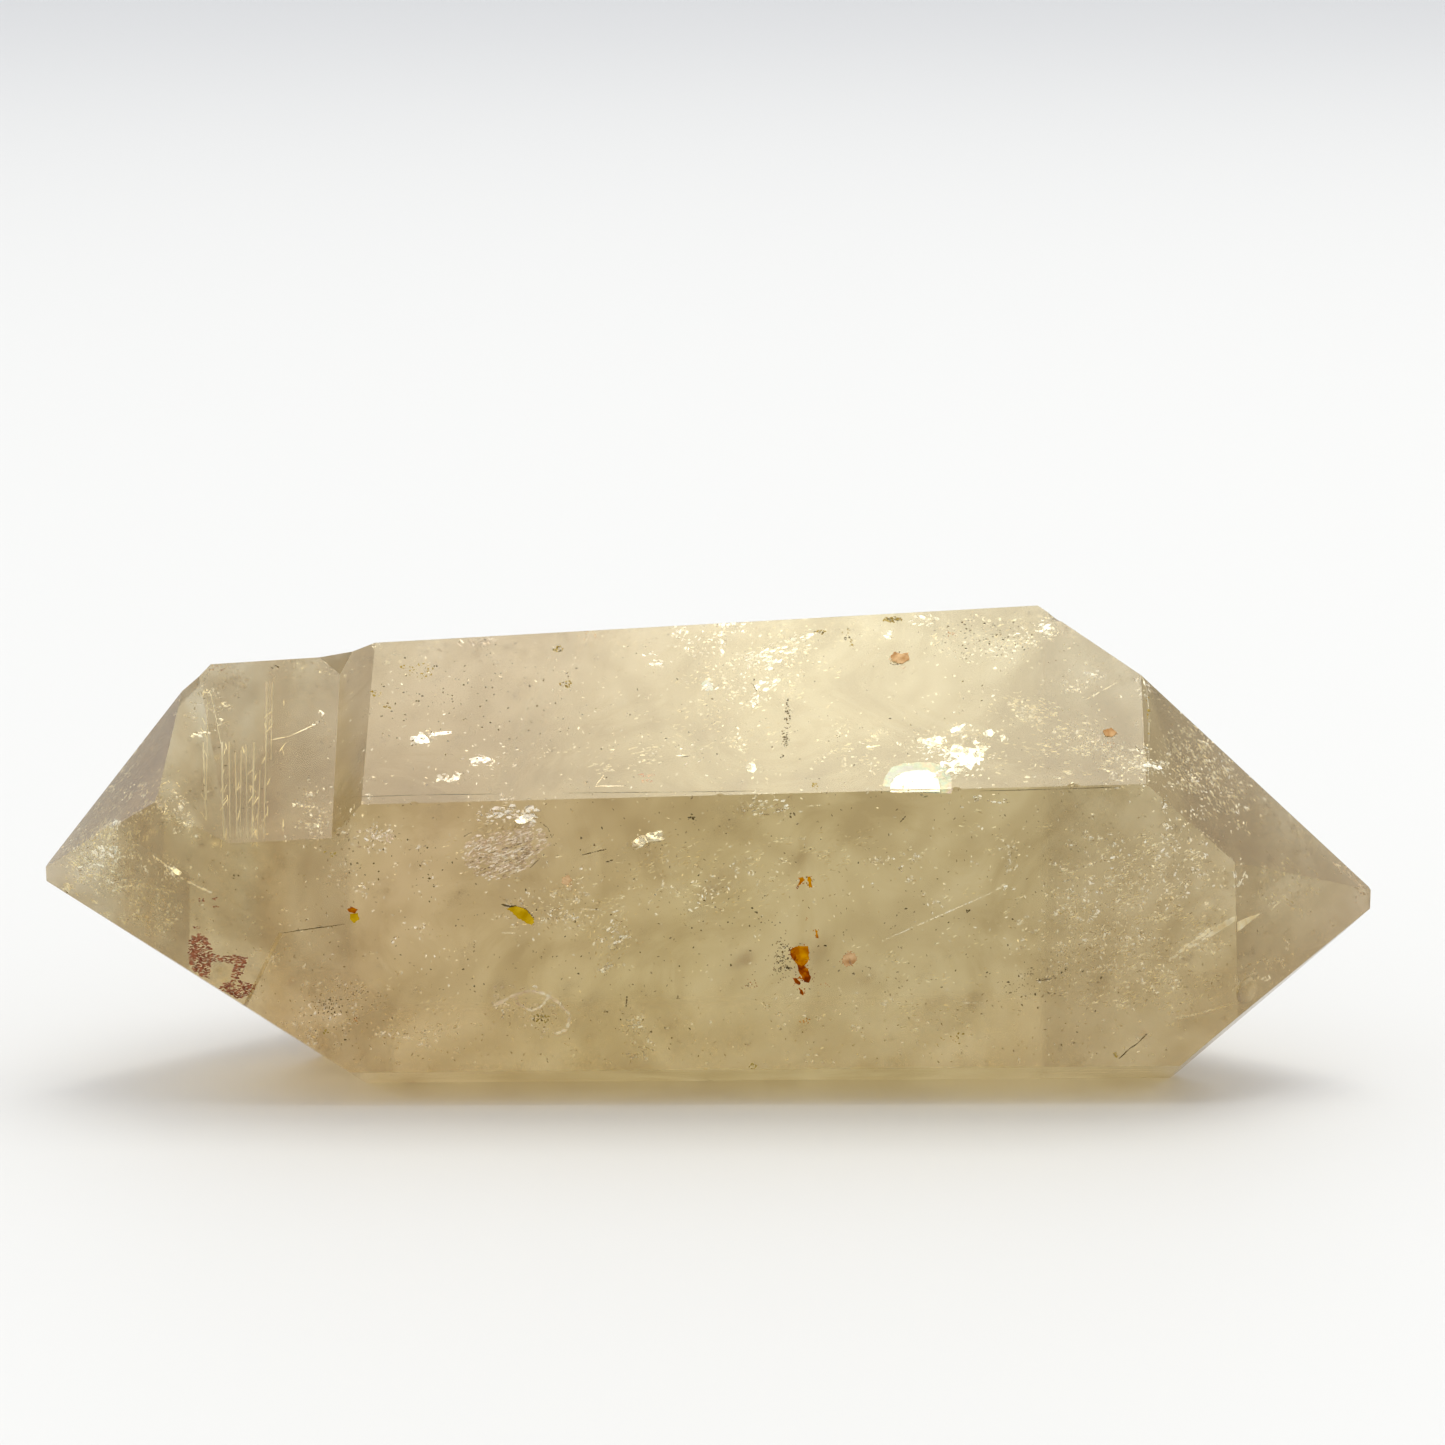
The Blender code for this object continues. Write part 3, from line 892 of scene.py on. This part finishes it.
# Larger shards in the brightest places, written the same way
SHARDS = (
    ((962, 756), (26, 14), 15, None, 40), ((932, 742), (16, 6), 0, None, 12),
    ((951, 770), (12, 6), 0, None, 10), ((989, 733), (5, 3), 0, None, 4),
    ((423, 738), (12, 5), 10, None, 10), ((482, 760), (12, 3), 0, 10, 8),
    ((506, 813), (34, 7), 6, 15, 26), ((530, 818), (12, 4), 0, 10, 12),
    ((104, 852), (13, 6), 10, None, 18), ((175, 872), (7, 4), -30, -30, 7),
    ((751, 768), (4, 4), 0, None, 6), ((648, 839), (15, 5), 20, 20, 18),
    ((772, 654), (26, 6), 14, 20, 26), ((798, 640), (16, 4), 30, 30, 10),
    ((774, 663), (12, 4), 40, 50, 9), ((724, 622), (13, 5), 0, 75, 22), ((722, 640), (3, 14), 0, 90, 9),
    ((1155, 765), (12, 4), 0, 0, 14), ((758, 688), (10, 3), 60, 50, 6), ((772, 684), (10, 3), 40, 40, 6),
    ((448, 778), (10, 3), 0, None, 7), ((116, 822), (4, 3), 0, None, 4), ((200, 734), (9, 2), 10, 10, 7),
    ((1043, 629), (11, 5), -20, None, 10), ((68, 888), (4, 4), 0, None, 5),
    ((92, 862), (14, 4), -20, -20, 8), ((182, 801), (4, 3), 0, None, 4), ((889, 634), (3, 4), 0, None, 5),
    ((756, 702), (4, 4), 0, None, 4), ((660, 664), (10, 3), 0, -10, 5), ((925, 619), (12, 4), 0, None, 6),
    ((706, 686), (6, 6), 0, None, 5), ((607, 967), (8, 3), 30, 30, 5),
)
GLINT_SIZE, GLINT_DEPTH = (0.5, 1.7), (0.2, 1.8)
SHARD_SIZE, SHARD_DEPTH = (1.0, 2.6), (0.12, 0.5)
glints = Heap(11)
for middle, half_size, slant, way, count in GLINTS:
    glints.cluster(
        middle, half_size, count, GLINT_SIZE, GLINT_DEPTH, slant, along=way, stretch=2.4, wobble=22
    )
for middle, half_size, slant, way, count in SHARDS:
    glints.cluster(
        middle, half_size, count, SHARD_SIZE, SHARD_DEPTH, slant, along=way, stretch=2.0, wobble=12
    )
glints.strew(110, 7, 16, (0.6, 2.6), (0.2, 3.0), stretch=2.2)
glints.become("glints", silver)

# %% [markdown]
# ## Milky clouds
#
# Where many fine cracks meet, the stone goes milky. Crumbs just under the surface look crisp. Deeper
# ones are softened by the surface above them and read as a haze.

# %% Crumbs
# Middle pixel, half width and half height, slant and the share of the ellipse that the crumbs cover
CRUMBS = (
    ((106, 856), (32, 15), 15, 0.40), ((120, 882), (52, 16), -25, 0.26),
    ((148, 908), (44, 18), -35, 0.24), ((178, 874), (22, 6), -32, 0.35), ((112, 815), (40, 22), 50, 0.12),
    ((174, 806), (14, 22), 0, 0.30), ((186, 832), (16, 8), -25, 0.25), ((315, 810), (20, 20), 0, 0.35),
    ((210, 708), (20, 18), 0, 0.24), ((376, 838), (20, 13), 0, 0.35), ((368, 643), (12, 6), 0, 0.30),
    ((482, 761), (16, 5), 0, 0.30), ((421, 740), (14, 7), 0, 0.30), ((690, 645), (26, 30), 60, 0.14),
    ((745, 680), (60, 34), 20, 0.15), ((735, 630), (26, 16), 0, 0.16), ((780, 650), (44, 16), 18, 0.24),
    ((751, 768), (10, 10), 0, 0.40), ((740, 740), (16, 9), 0, 0.25), ((860, 745), (50, 22), 10, 0.10),
    ((950, 752), (50, 26), 0, 0.22), ((985, 640), (56, 24), 0, 0.16), ((1040, 632), (16, 10), 0, 0.30),
    ((1085, 678), (30, 9), 30, 0.30), ((1070, 733), (70, 11), -28, 0.34),
    ((1120, 765), (30, 14), 0, 0.22), ((1152, 765), (16, 9), 0, 0.45), ((548, 905), (50, 20), 20, 0.24),
    ((562, 920), (30, 9), 5, 0.40), ((616, 940), (24, 18), 50, 0.26), ((607, 967), (12, 6), 30, 0.40),
    ((505, 816), (38, 9), 5, 0.30), ((762, 806), (28, 9), 0, 0.30), ((719, 901), (9, 10), 0, 0.35),
    ((700, 908), (14, 10), 0, 0.12), ((884, 855), (26, 9), 0, 0.20), ((1008, 855), (14, 17), 0, 0.28),
    ((1024, 916), (9, 10), 0, 0.25), ((1110, 930), (110, 70), 0, 0.06), ((1180, 870), (56, 36), 25, 0.10),
    ((1168, 834), (10, 9), 0, 0.40), ((1195, 958), (44, 26), 30, 0.14),
    ((1185, 762), (32, 26), -30, 0.26), ((1215, 800), (40, 26), -40, 0.14),
    ((1100, 880), (50, 50), 0, 0.10), ((120, 780), (22, 34), 55, 0.22), ((110, 870), (60, 26), -10, 0.12),
    ((960, 870), (60, 40), 0, 0.03), ((720, 870), (70, 36), 0, 0.05), ((850, 1000), (90, 40), 0, 0.02),
    ((430, 960), (60, 40), 0, 0.03), ((640, 880), (50, 40), 0, 0.05), ((400, 870), (60, 36), 0, 0.04),
    ((1268, 968), (20, 10), 20, 0.30), ((1196, 756), (14, 22), 10, 0.40),
    ((1225, 775), (24, 16), -40, 0.18), ((640, 1036), (14, 22), 0, 0.20), ((634, 1056), (18, 3), 0, 0.50),
    ((335, 1010), (50, 36), 30, 0.12), ((395, 1032), (12, 7), 0, 0.30), ((433, 1037), (10, 6), 0, 0.25),
    ((265, 952), (15, 18), 0, 0.15), ((148, 918), (7, 4), 0, 0.40), ((162, 932), (6, 4), 0, 0.40),
    ((1100, 955), (60, 30), 10, 0.10),
)
STONE_OUTLINE = ((200, 860), (350, 660), (1030, 615), (1140, 680), (1300, 850), (1235, 990), (1160, 1062),
                 (350, 1066), (210, 985))
CRUMB_SIZE, CRUMB_DEPTH = (0.6, 1.5), (0.15, 2.0)
crumbs = Heap(23)
for middle, half_size, slant, cover in CRUMBS:
    crumbs.haze(middle, half_size, slant, cover, CRUMB_SIZE, CRUMB_DEPTH, stretch=1.9, wobble=35, sides=5)
crumbs.fill(STONE_OUTLINE, 0.012, (0.5, 1.1), (0.1, 2.5), stretch=2.4, wobble=35, sides=5)
crumbs.strew(110, 40, 34, (0.4, 1.4), (0.15, 2.5), stretch=1.9)
crumbs.become("crumbs", milk_and_ridge_highlight)

# %% [markdown]
# ## Wisps
#
# The milky places are combed into fine wisps that follow the ways in which quartz breaks. More of them
# stand upright between the growth lines of the ledge, and soften those.

# %% Wisps
# Middle pixel, half width and half height, slant, way of the wisps and the share that they cover
WISPS = (
    ((118, 800), (50, 44), 45, 55, 0.14), ((125, 888), (64, 34), -30, -25, 0.12),
    ((1198, 762), (36, 34), -40, -45, 0.22), ((1232, 806), (34, 24), -40, -50, 0.12),
    ((1140, 900), (84, 66), 0, 25, 0.08), ((1130, 980), (80, 36), 0, 30, 0.08),
    ((725, 868), (90, 40), 5, 20, 0.06), ((505, 850), (56, 38), 0, 20, 0.05),
    ((560, 915), (56, 22), 10, 5, 0.12), ((610, 945), (32, 26), 50, 60, 0.10),
    ((1075, 735), (84, 15), -28, -25, 0.20), ((860, 860), (60, 26), 0, 10, 0.06),
    ((400, 1010), (70, 34), 0, 30, 0.04), ((985, 640), (56, 24), 0, 30, 0.06),
    ((940, 930), (80, 30), 25, 30, 0.03), ((760, 690), (90, 50), 20, 25, 0.03),
    ((700, 735), (90, 40), 5, 10, 0.015), ((1015, 755), (84, 22), -8, -5, 0.06),
    ((840, 740), (60, 26), 0, 10, 0.02), ((1290, 890), (40, 24), -30, -40, 0.04),
    ((600, 765), (60, 16), 0, 10, 0.03), ((640, 870), (70, 40), 0, 20, 0.04),
    ((940, 1000), (80, 40), 0, 5, 0.02), ((1000, 830), (60, 20), 0, 0, 0.03),
)
# Upright wisps between the growth lines: x, top, bottom, width and the share that they cover
LEDGE_COLUMNS = (
    (206, 690, 832, 6, 0.10), (226, 738, 836, 7, 0.09), (241, 748, 838, 5, 0.06),
    (255, 742, 836, 9, 0.12), (268, 680, 836, 5, 0.08), (284, 690, 828, 5, 0.04),
)
WISP_SIZE, WISP_DEPTH = (0.25, 0.75), (0.2, 3.0)
COLUMN_LEAN = 3
wisps_inside = Heap(73)
for middle, half_size, slant, way, cover in WISPS:
    wisps_inside.haze(
        middle, half_size, slant, cover, WISP_SIZE, WISP_DEPTH, along=way, stretch=5.0, wobble=25
    )
for x, top, bottom, width, cover in LEDGE_COLUMNS:
    left, right = x - width / 2, x + width / 2
    column = ((left, top), (right, top), (right - COLUMN_LEAN, bottom), (left - COLUMN_LEAN, bottom))
    wisps_inside.fill(column, cover, (0.35, 0.7), (0.3, 2.2), along=88, stretch=16.0, wobble=5)
wisps_inside.strew(90, 30, 40, (0.25, 0.75), (0.3, 3.0), stretch=5.0, wobble=18)
wisps_inside.become("wisps", cream)

# %% [markdown]
# ## The pearly patch and the eye
#
# Under the ridge lies a crinkled film with a pearly sheen, with painted shade in its folds. Lower down, a
# cream ring closes round an olive spot like an eye.

# %% The pearly patch and the eye
PEARL_OUTLINE = (
    (466, 861), (465, 845), (474, 836), (490, 834), (512, 830), (531, 822), (548, 834), (551, 844),
    (540, 852), (530, 866), (508, 878), (488, 880), (475, 876),
)
EYE_RING = (
    (494, 1005), (503, 1001), (515, 995), (530, 991), (546, 994), (560, 1004), (570, 1016), (567, 1029),
    (556, 1034),
)
EYE_CROSSING = ((515, 996), (520, 1006), (531, 1011), (542, 1006), (549, 997))
PEARL_FOLDS = (
    ((470, 868), (488, 858), (512, 852), (532, 846)), ((474, 850), (492, 845), (514, 838), (534, 830)),
    ((482, 876), (500, 868), (520, 862), (534, 852)), ((466, 858), (474, 848), (488, 840)),
)
# The narrow faces under the lower edge get a painted reflection: pale pearly slivers that stand for a
# bright floor mirrored there
LOWER_RIM_REFLECTIONS = (
    ((356, 1073), (480, 1073), (620, 1073), (800, 1072), (1000, 1071), (1176, 1069)),
    ((372, 1075), (480, 1076), (620, 1077), (800, 1075), (1000, 1074), (1170, 1071)),
    ((560, 1078), (620, 1079), (700, 1078)), ((1184, 1066), (1210, 1047), (1236, 1026)),
    ((1188, 1065), (1212, 1048), (1238, 1028)),
)
# Middle pixel, half width and half height of an ellipse, and its slant
EYE_CLOUD = ((530, 1010), (40, 20), -10)
EYE_STREAKS = ((507, 988), (22, 3))
LEDGE_CLOUD = ((376, 838), (17, 11), 0)
RIGHT_CLOUD = ((1107, 740), (16, 8), -20)
pearls_and_rim_reflection = Heap(79)
pearls_and_rim_reflection.fill(PEARL_OUTLINE, 0.35, (0.5, 1.2), (0.1, 0.3), along=22, stretch=3.0, wobble=10)
for fold in PEARL_FOLDS:
    pearls_and_rim_reflection.trail(fold, 1.2, 0.3, 0.15)
# Painted reflection: pale slivers along the narrow faces of the lower rim
for rim in LOWER_RIM_REFLECTIONS:
    pearls_and_rim_reflection.trail(rim, 1.5, 0.15, 0.08)
pearls_and_rim_reflection.trail(EYE_RING, 2.4, 0.5, 0.05)
pearls_and_rim_reflection.trail(EYE_CROSSING, 1.8, 0.5, 0.05)
pearls_and_rim_reflection.haze(*EYE_CLOUD, 0.05, (0.4, 1.0), (0.3, 1.2), stretch=2.0)
pearls_and_rim_reflection.cluster(*EYE_STREAKS, 8, (0.6, 1.2), (0.3, 0.8), along=0, stretch=3.0)
pearls_and_rim_reflection.haze(*LEDGE_CLOUD, 0.30, (0.7, 1.6), (0.3, 0.9), stretch=2.0)
pearls_and_rim_reflection.haze(*RIGHT_CLOUD, 0.20, (0.7, 1.5), (0.3, 0.9), stretch=2.0)
pearls_and_rim_reflection.strew(16, 40, 22, (0.6, 1.4), (0.2, 1.0), stretch=4.0)
pearls_and_rim_reflection.become("pearly_films_and_painted_rim_reflection", pearl_and_rim_reflection)
ground = Heap(97)
ground.fill(PEARL_OUTLINE, 0.75, (0.8, 2.0), (0.35, 0.6), along=22, stretch=2.4, wobble=9)
ground.become("pearly_ground", pearl_ground)

# %% [markdown]
# ## Smoky films and painted fold shade
#
# The folds of the pearly film get painted shade: dark slivers along them, and thin dark flakes over the
# patch. Thin smoky films also lie here and there in the whole stone. All are flakes like the pearly ones
# in a dark finish, so that they read as shade inside clear stone.

# %% Smoky films and painted fold shade
# Dark slivers along the folds of the pearly film: painted shade in its creases
FOLD_SHADE_LINES = (
    ((468, 864), (490, 853), (514, 846), (536, 838)), ((478, 872), (498, 863), (522, 857)),
    ((540, 822), (548, 828), (552, 838)), ((462, 838), (470, 833), (478, 832)),
    ((530, 868), (540, 858), (549, 850)),
)
# Middle pixel, half width and half height, slant, share that is covered, sizes, depths and stretch
SMOKY_HAZES = (
    ((541, 1019), (9, 4), -15, 0.25, (0.5, 1.1), (1.4, 2.4), 1.6),
    ((520, 1001), (6, 3), 0, 0.15, (0.5, 1.0), (1.4, 2.4), 1.6),
    ((332, 1003), (14, 9), 0, 0.20, (0.5, 1.1), (0.2, 0.9), 1.6),
    ((985, 640), (46, 20), 0, 0.05, (0.4, 0.8), (0.1, 0.8), 2.0),
    ((780, 960), (10, 20), 0, 0.16, (0.4, 0.9), (0.2, 0.7), 1.6),
    ((1045, 985), (30, 24), 0, 0.04, (0.4, 0.8), (0.2, 0.9), 2.0),
)
smoky_films_and_fold_shade = Heap(83)
# Thin dark flakes over the pearly patch: more painted shade of its folds
smoky_films_and_fold_shade.fill(PEARL_OUTLINE, 0.008, (0.3, 0.5), (0.1, 0.3), along=22, stretch=6.0, wobble=10)
for fold in FOLD_SHADE_LINES:
    smoky_films_and_fold_shade.trail(fold, 0.8, 0.4, 0.35)
for *haze, stretch in SMOKY_HAZES:
    smoky_films_and_fold_shade.haze(*haze, stretch=stretch)
smoky_films_and_fold_shade.fill(STONE_OUTLINE, 0.006, (0.4, 0.9), (0.1, 2.0), stretch=2.4, wobble=35, sides=5)
smoky_films_and_fold_shade.strew(90, 9, 26, (0.5, 1.2), (0.1, 1.6), stretch=2.4)
smoky_films_and_fold_shade.become("smoky_films_and_painted_fold_shade", smoke_and_fold_shade)

# %% [markdown]
# ## Rust, amber and other stains
#
# Iron-bearing water has left coloured films in small cracks. Round the plates, the films break up into
# crumbs of the same colours. Rust and pale crumbs lie in the surface, and amber ones just under it.

# %% Rust and amber
ON_FACE = (0.0, 0.0)
# Middle pixel, half width and half height, number of crumbs and their size
RUST_MARKS = (
    ((804, 972), (6, 10), 22, (0.6, 1.4)), ((797, 982), (5, 5), 10, (0.5, 1.2)),
    ((802, 991), (3, 5), 7, (0.5, 1.1)), ((791, 953), (3, 7), 12, (0.5, 1.2)),
    ((799, 950), (2, 6), 8, (0.5, 1.0)), ((798, 886), (2, 3), 5, (0.5, 1.0)),
    ((817, 933), (2, 5), 5, (0.4, 0.9)), ((352, 910), (6, 3), 8, (0.5, 1.2)),
    ((812, 976), (6, 6), 5, (0.4, 0.8)), ((356, 1022), (2, 5), 5, (0.5, 1.0)),
)
rust_marks = Heap(31, on_face=True)
for middle, half_size, count, size in RUST_MARKS:
    rust_marks.cluster(middle, half_size, count, size, ON_FACE)
rust_marks.strew(7, 14, 7, (0.6, 1.8), (0.2, 0.8))
rust_marks.become("rust", rust)

AMBER_MARKS = (
    ((801, 955), (10, 11), 26, (0.6, 1.5)), ((802, 881), (6, 5), 9, (0.5, 1.1)),
    ((810, 882), (3, 7), 9, (0.5, 1.0)), ((816, 933), (3, 6), 8, (0.5, 1.1)),
    ((355, 918), (6, 5), 8, (0.5, 1.2)), ((645, 775), (11, 1.6), 22, (0.6, 1.1)),
    ((646, 781), (8, 1.6), 16, (0.6, 1.1)), ((848, 959), (9, 8), 14, (0.4, 0.9)),
    ((807, 919), (2, 2), 3, (0.5, 0.9)), ((1109, 745), (6, 3), 6, (0.6, 1.2)),
    ((806, 1021), (7, 3), 10, (0.5, 1.1)),
)
AMBER_DEPTH = (0.2, 0.4)
amber_marks = Heap(37)
for middle, half_size, count, size in AMBER_MARKS:
    amber_marks.cluster(middle, half_size, count, size, AMBER_DEPTH, wobble=12)
amber_marks.strew(9, 12, 8, (0.6, 1.8), (0.2, 0.8))
amber_marks.become("amber", amber)

# The last value keeps crumbs out of the middle: 0.5 leaves only a ring
PALE_MARKS = (
    ((849, 959), (8, 8), 26, (0.6, 1.3), 0.5), ((751, 983), (9, 5), 14, (0.5, 1.1), 0),
    ((567, 881), (5, 5), 8, (0.6, 1.3), 0), ((1111, 732), (9, 4), 12, (0.6, 1.3), 0),
    ((899, 659), (11, 6), 26, (0.6, 1.4), 0), ((902, 669), (5, 3), 8, (0.5, 1.1), 0),
    ((824, 985), (6, 4), 7, (0.5, 1.0), 0), ((950, 635), (5, 4), 8, (0.6, 1.3), 0),
    ((586, 634), (12, 8), 9, (0.6, 1.3), 0),
)
pale_marks = Heap(41, on_face=True)
for middle, half_size, count, size, edge in PALE_MARKS:
    pale_marks.cluster(middle, half_size, count, size, ON_FACE, edge=edge)
pale_marks.become("pale_stains", pale_rust)

# %% [markdown]
# ## Hematite
#
# The step at the lower left carries a dark red film in blocks and bars, worn through in places. Many small
# flat flakes leave such gaps by themselves, which one cut plate wouldn't.

# %% Hematite
HEMATITE_OUTLINES = {
    "block": (((191, 936), (200, 933), (207, 939), (211, 948), (213, 954), (211, 963), (209, 979),
               (201, 976), (192, 970), (190, 961), (188, 948)), 0.95),
    "bar": (((212, 953), (224, 956), (235, 955), (247, 958), (246, 963), (234, 963), (224, 963),
             (212, 961)), 0.80),
    "right": (((235, 962), (247, 961), (243, 971), (239, 980), (230, 978), (233, 970)), 0.70),
    "lower": (((218, 988), (224, 983), (234, 979), (247, 983), (256, 985), (255, 989), (247, 996),
               (238, 999), (228, 993)), 0.85),
}
HEMATITE_DOTS = (
    ((197, 927), (3, 2), 7), ((203, 900), (4, 3), 6), ((216, 907), (3, 2), 4), ((213, 899), (5, 2), 5),
)
LAYERS = 1.3
film = Heap(43, on_face=True)
for outline, cover in HEMATITE_OUTLINES.values():
    film.fill(outline, cover * LAYERS, (0.45, 1.0), ON_FACE, along=0, stretch=2.6)
for middle, half_size, count in HEMATITE_DOTS:
    film.cluster(middle, half_size, count, (0.5, 1.0), ON_FACE, along=0, stretch=1.6)
film.become("hematite_streaks", hematite)

# %% [markdown]
# ## Specks, needles and olive stains
#
# Dark grains of other minerals sit in the surface, some of them in rows, with a few hair-thin needles.
# The fine dark lines along the ridge are painted shade of that edge, in the same dark finish. A brown or
# olive stain lies round some of the specks.

# %% Specks and needles
# Middle pixel, half width and half height, and number of specks
SPECKS = (
    ((480, 700), (110, 60), 110), ((700, 720), (330, 70), 90), ((700, 930), (320, 110), 130),
    ((985, 640), (55, 24), 70), ((787, 724), (3.5, 26), 60), ((783, 756), (3, 4), 5),
    ((783, 958), (8, 16), 46), ((235, 745), (50, 60), 14), ((400, 860), (60, 30), 30),
    ((1060, 1000), (60, 50), 34), ((760, 920), (14, 10), 12), ((693, 818), (5, 4), 10),
    ((330, 1004), (14, 10), 22), ((340, 1030), (30, 20), 14), ((67, 894), (2, 2), 6),
    ((791, 814), (4, 4), 7), ((820, 632), (5, 3), 9), ((847, 634), (3, 8), 10),
    ((893, 619), (9, 2.5), 40), ((558, 649), (6, 3), 16), ((566, 684), (6, 4), 12),
    ((899, 658), (12, 6), 9), ((540, 1019), (8, 4), 5), ((784, 738), (3, 9), 22), ((963, 623), (3, 5), 6),
    ((994, 634), (7, 3), 8), ((679, 997), (2, 2), 4), ((968, 911), (2, 2), 4), ((838, 736), (3, 2), 4),
    ((1044, 979), (5, 2), 7), ((275, 667), (6, 2), 5), ((235, 876), (4, 3), 5),
)
# Points along a needle or a painted ridge shade line, and its width
NEEDLES_AND_RIDGE_SHADE = (
    (((582, 855), (594, 852), (607, 849)), 0.9), (((606, 862), (613, 860)), 1.0),
    (((282, 933), (345, 924)), 0.8), (((1147, 1034), (1138, 1043), (1129, 1049), (1119, 1059)), 1.0),
    (((900, 822), (906, 816)), 1.0), (((627, 996), (626, 1007)), 1.1), (((1036, 981), (1052, 979)), 0.8),
    (((502, 905), (509, 907), (516, 906)), 1.5), (((515, 906), (526, 909), (534, 918)), 0.8),
    (((681, 757), (690, 756)), 0.7), (((753, 684), (757, 692)), 0.8),
    (((890, 663), (894, 665), (901, 664)), 0.8), (((1135, 746), (1141, 752)), 0.8),
    # These three rows are painted shade along the ridge between the upper and lower faces
    (((350, 797), (420, 795), (500, 794)), 0.5), (((560, 793), (680, 792), (760, 791)), 0.5),
    (((980, 791), (1060, 789), (1120, 787)), 0.5),
)
specks_and_ridge_shade = Heap(47, on_face=True)
for middle, half_size, count in SPECKS:
    specks_and_ridge_shade.cluster(middle, half_size, count, (0.35, 1.25), ON_FACE, stretch=1.6, sides=5)
for points, width in NEEDLES_AND_RIDGE_SHADE:
    specks_and_ridge_shade.trail(points, width, 0)
specks_and_ridge_shade.strew(60, 12, 24, (0.3, 0.9), (0.1, 1.0))
specks_and_ridge_shade.become("specks_needles_and_painted_ridge_shade", specks_and_ridge_shade_finish)

OLIVE_MARKS = (
    ((893, 620), (10, 3.5), 46), ((421, 672), (14, 9), 30), ((403, 667), (3, 2), 7),
    ((558, 649), (6, 3), 16), ((566, 684), (6, 4), 14), ((375, 694), (9, 3), 9), ((387, 706), (4, 3), 6),
    ((815, 786), (5, 4), 9), ((754, 1066), (6, 3), 12), ((541, 1019), (9, 5), 16),
    ((1036, 1073), (13, 2), 14), ((330, 853), (6, 4), 8), ((324, 1031), (5, 3), 6),
    ((819, 632), (7, 3), 8), ((846, 631), (5, 3), 6), ((1115, 1055), (3, 3), 6), ((851, 643), (2, 5), 5),
    ((955, 1040), (16, 8), 10), ((1148, 700), (2, 40), 16),
)
stains = Heap(53, on_face=True)
for middle, half_size, count in OLIVE_MARKS:
    stains.cluster(middle, half_size, count, (0.5, 1.5), ON_FACE, stretch=1.5)
stains.strew(16, 10, 12, (0.7, 2.0), (0.15, 0.8))
stains.become("olive_stains", olive)

# %% [markdown]
# ## Feathers and a painted ridge highlight
#
# Long fractures show as pale feathers. The one at the right is broken where it crosses the edge of the
# point, because each face bends the sight differently. Pale slivers of the same kind along the ridge at
# the lower left are a painted highlight of that ridge.

# %% Feathers and a painted ridge highlight
# Points along a feather or the painted ridge highlight, its width and how much of it is missing
FEATHERS_AND_RIDGE_HIGHLIGHTS = (
    (((1172, 958), (1190, 943), (1211, 930), (1235, 917)), 2.4, 0.1),
    (((1184, 950), (1206, 938), (1232, 922)), 2.0, 0.15), (((1196, 936), (1216, 925)), 1.2, 0.1),
    (((1180, 1019), (1243, 1001)), 1.0, 0.1), (((1170, 1019), (1200, 1013)), 0.7, 0.2),
    (((882, 941), (998, 890)), 0.8, 0.35), (((996, 890), (1006, 884)), 1.6, 0.0),
    # These two rows are a painted highlight along the ridge at the lower left
    (((152, 855), (175, 872)), 1.8, 0.0), (((180, 877), (196, 886), (212, 893)), 1.8, 0.1),
    (((580, 909), (602, 910)), 0.9, 0.0), (((612, 912), (619, 911)), 1.2, 0.0),
    (((866, 748), (880, 745)), 1.0, 0.0), (((595, 786), (624, 786)), 0.9, 0.1),
    (((596, 785), (604, 775)), 0.8, 0.0), (((806, 806), (828, 805)), 0.8, 0.1),
    (((271, 740), (290, 736), (316, 724)), 0.7, 0.1), (((1283, 938), (1290, 945)), 0.9, 0.0),
    (((1222, 765), (1229, 773)), 1.0, 0.0), (((1205, 742), (1212, 750)), 1.0, 0.0),
    (((1270, 911), (1281, 900)), 0.8, 0.2), (((954, 1003), (985, 1003)), 0.7, 0.3),
    (((501, 933), (516, 933)), 0.9, 0.0), (((676, 756), (686, 755)), 0.8, 0.0),
    (((1085, 700), (1118, 682)), 0.6, 0.2),
    (((1141, 674), (1147, 690), (1149, 715), (1149, 745), (1148, 782)), 0.7, 0.05),
)
FEATHER_DEPTH = 0.4
feathers_and_ridge_highlight = Heap(59)
for points, width, gaps in FEATHERS_AND_RIDGE_HIGHLIGHTS:
    feathers_and_ridge_highlight.trail(points, width, FEATHER_DEPTH, gaps)
feathers_and_ridge_highlight.become("feathers_and_ridge_highlight", milk_and_ridge_highlight)

SECOND_FEATHER = ((1237, 932), (1237, 922), (1248, 917), (1261, 913), (1250, 922), (1243, 928))
FIRST_FEATHER = ((1208, 934), (1220, 925), (1235, 916), (1235, 921), (1222, 930), (1210, 937))
BROAD_DEPTH = 0.5
BROAD_RAGGED = 0.5
join(
    [
        cut_plate("second_feather", SECOND_FEATHER, BROAD_DEPTH, None, milk_and_ridge_highlight, BROAD_RAGGED),
        cut_plate("first_feather", FIRST_FEATHER, BROAD_DEPTH, None, milk_and_ridge_highlight, BROAD_RAGGED),
    ],
    "feather_plates",
)
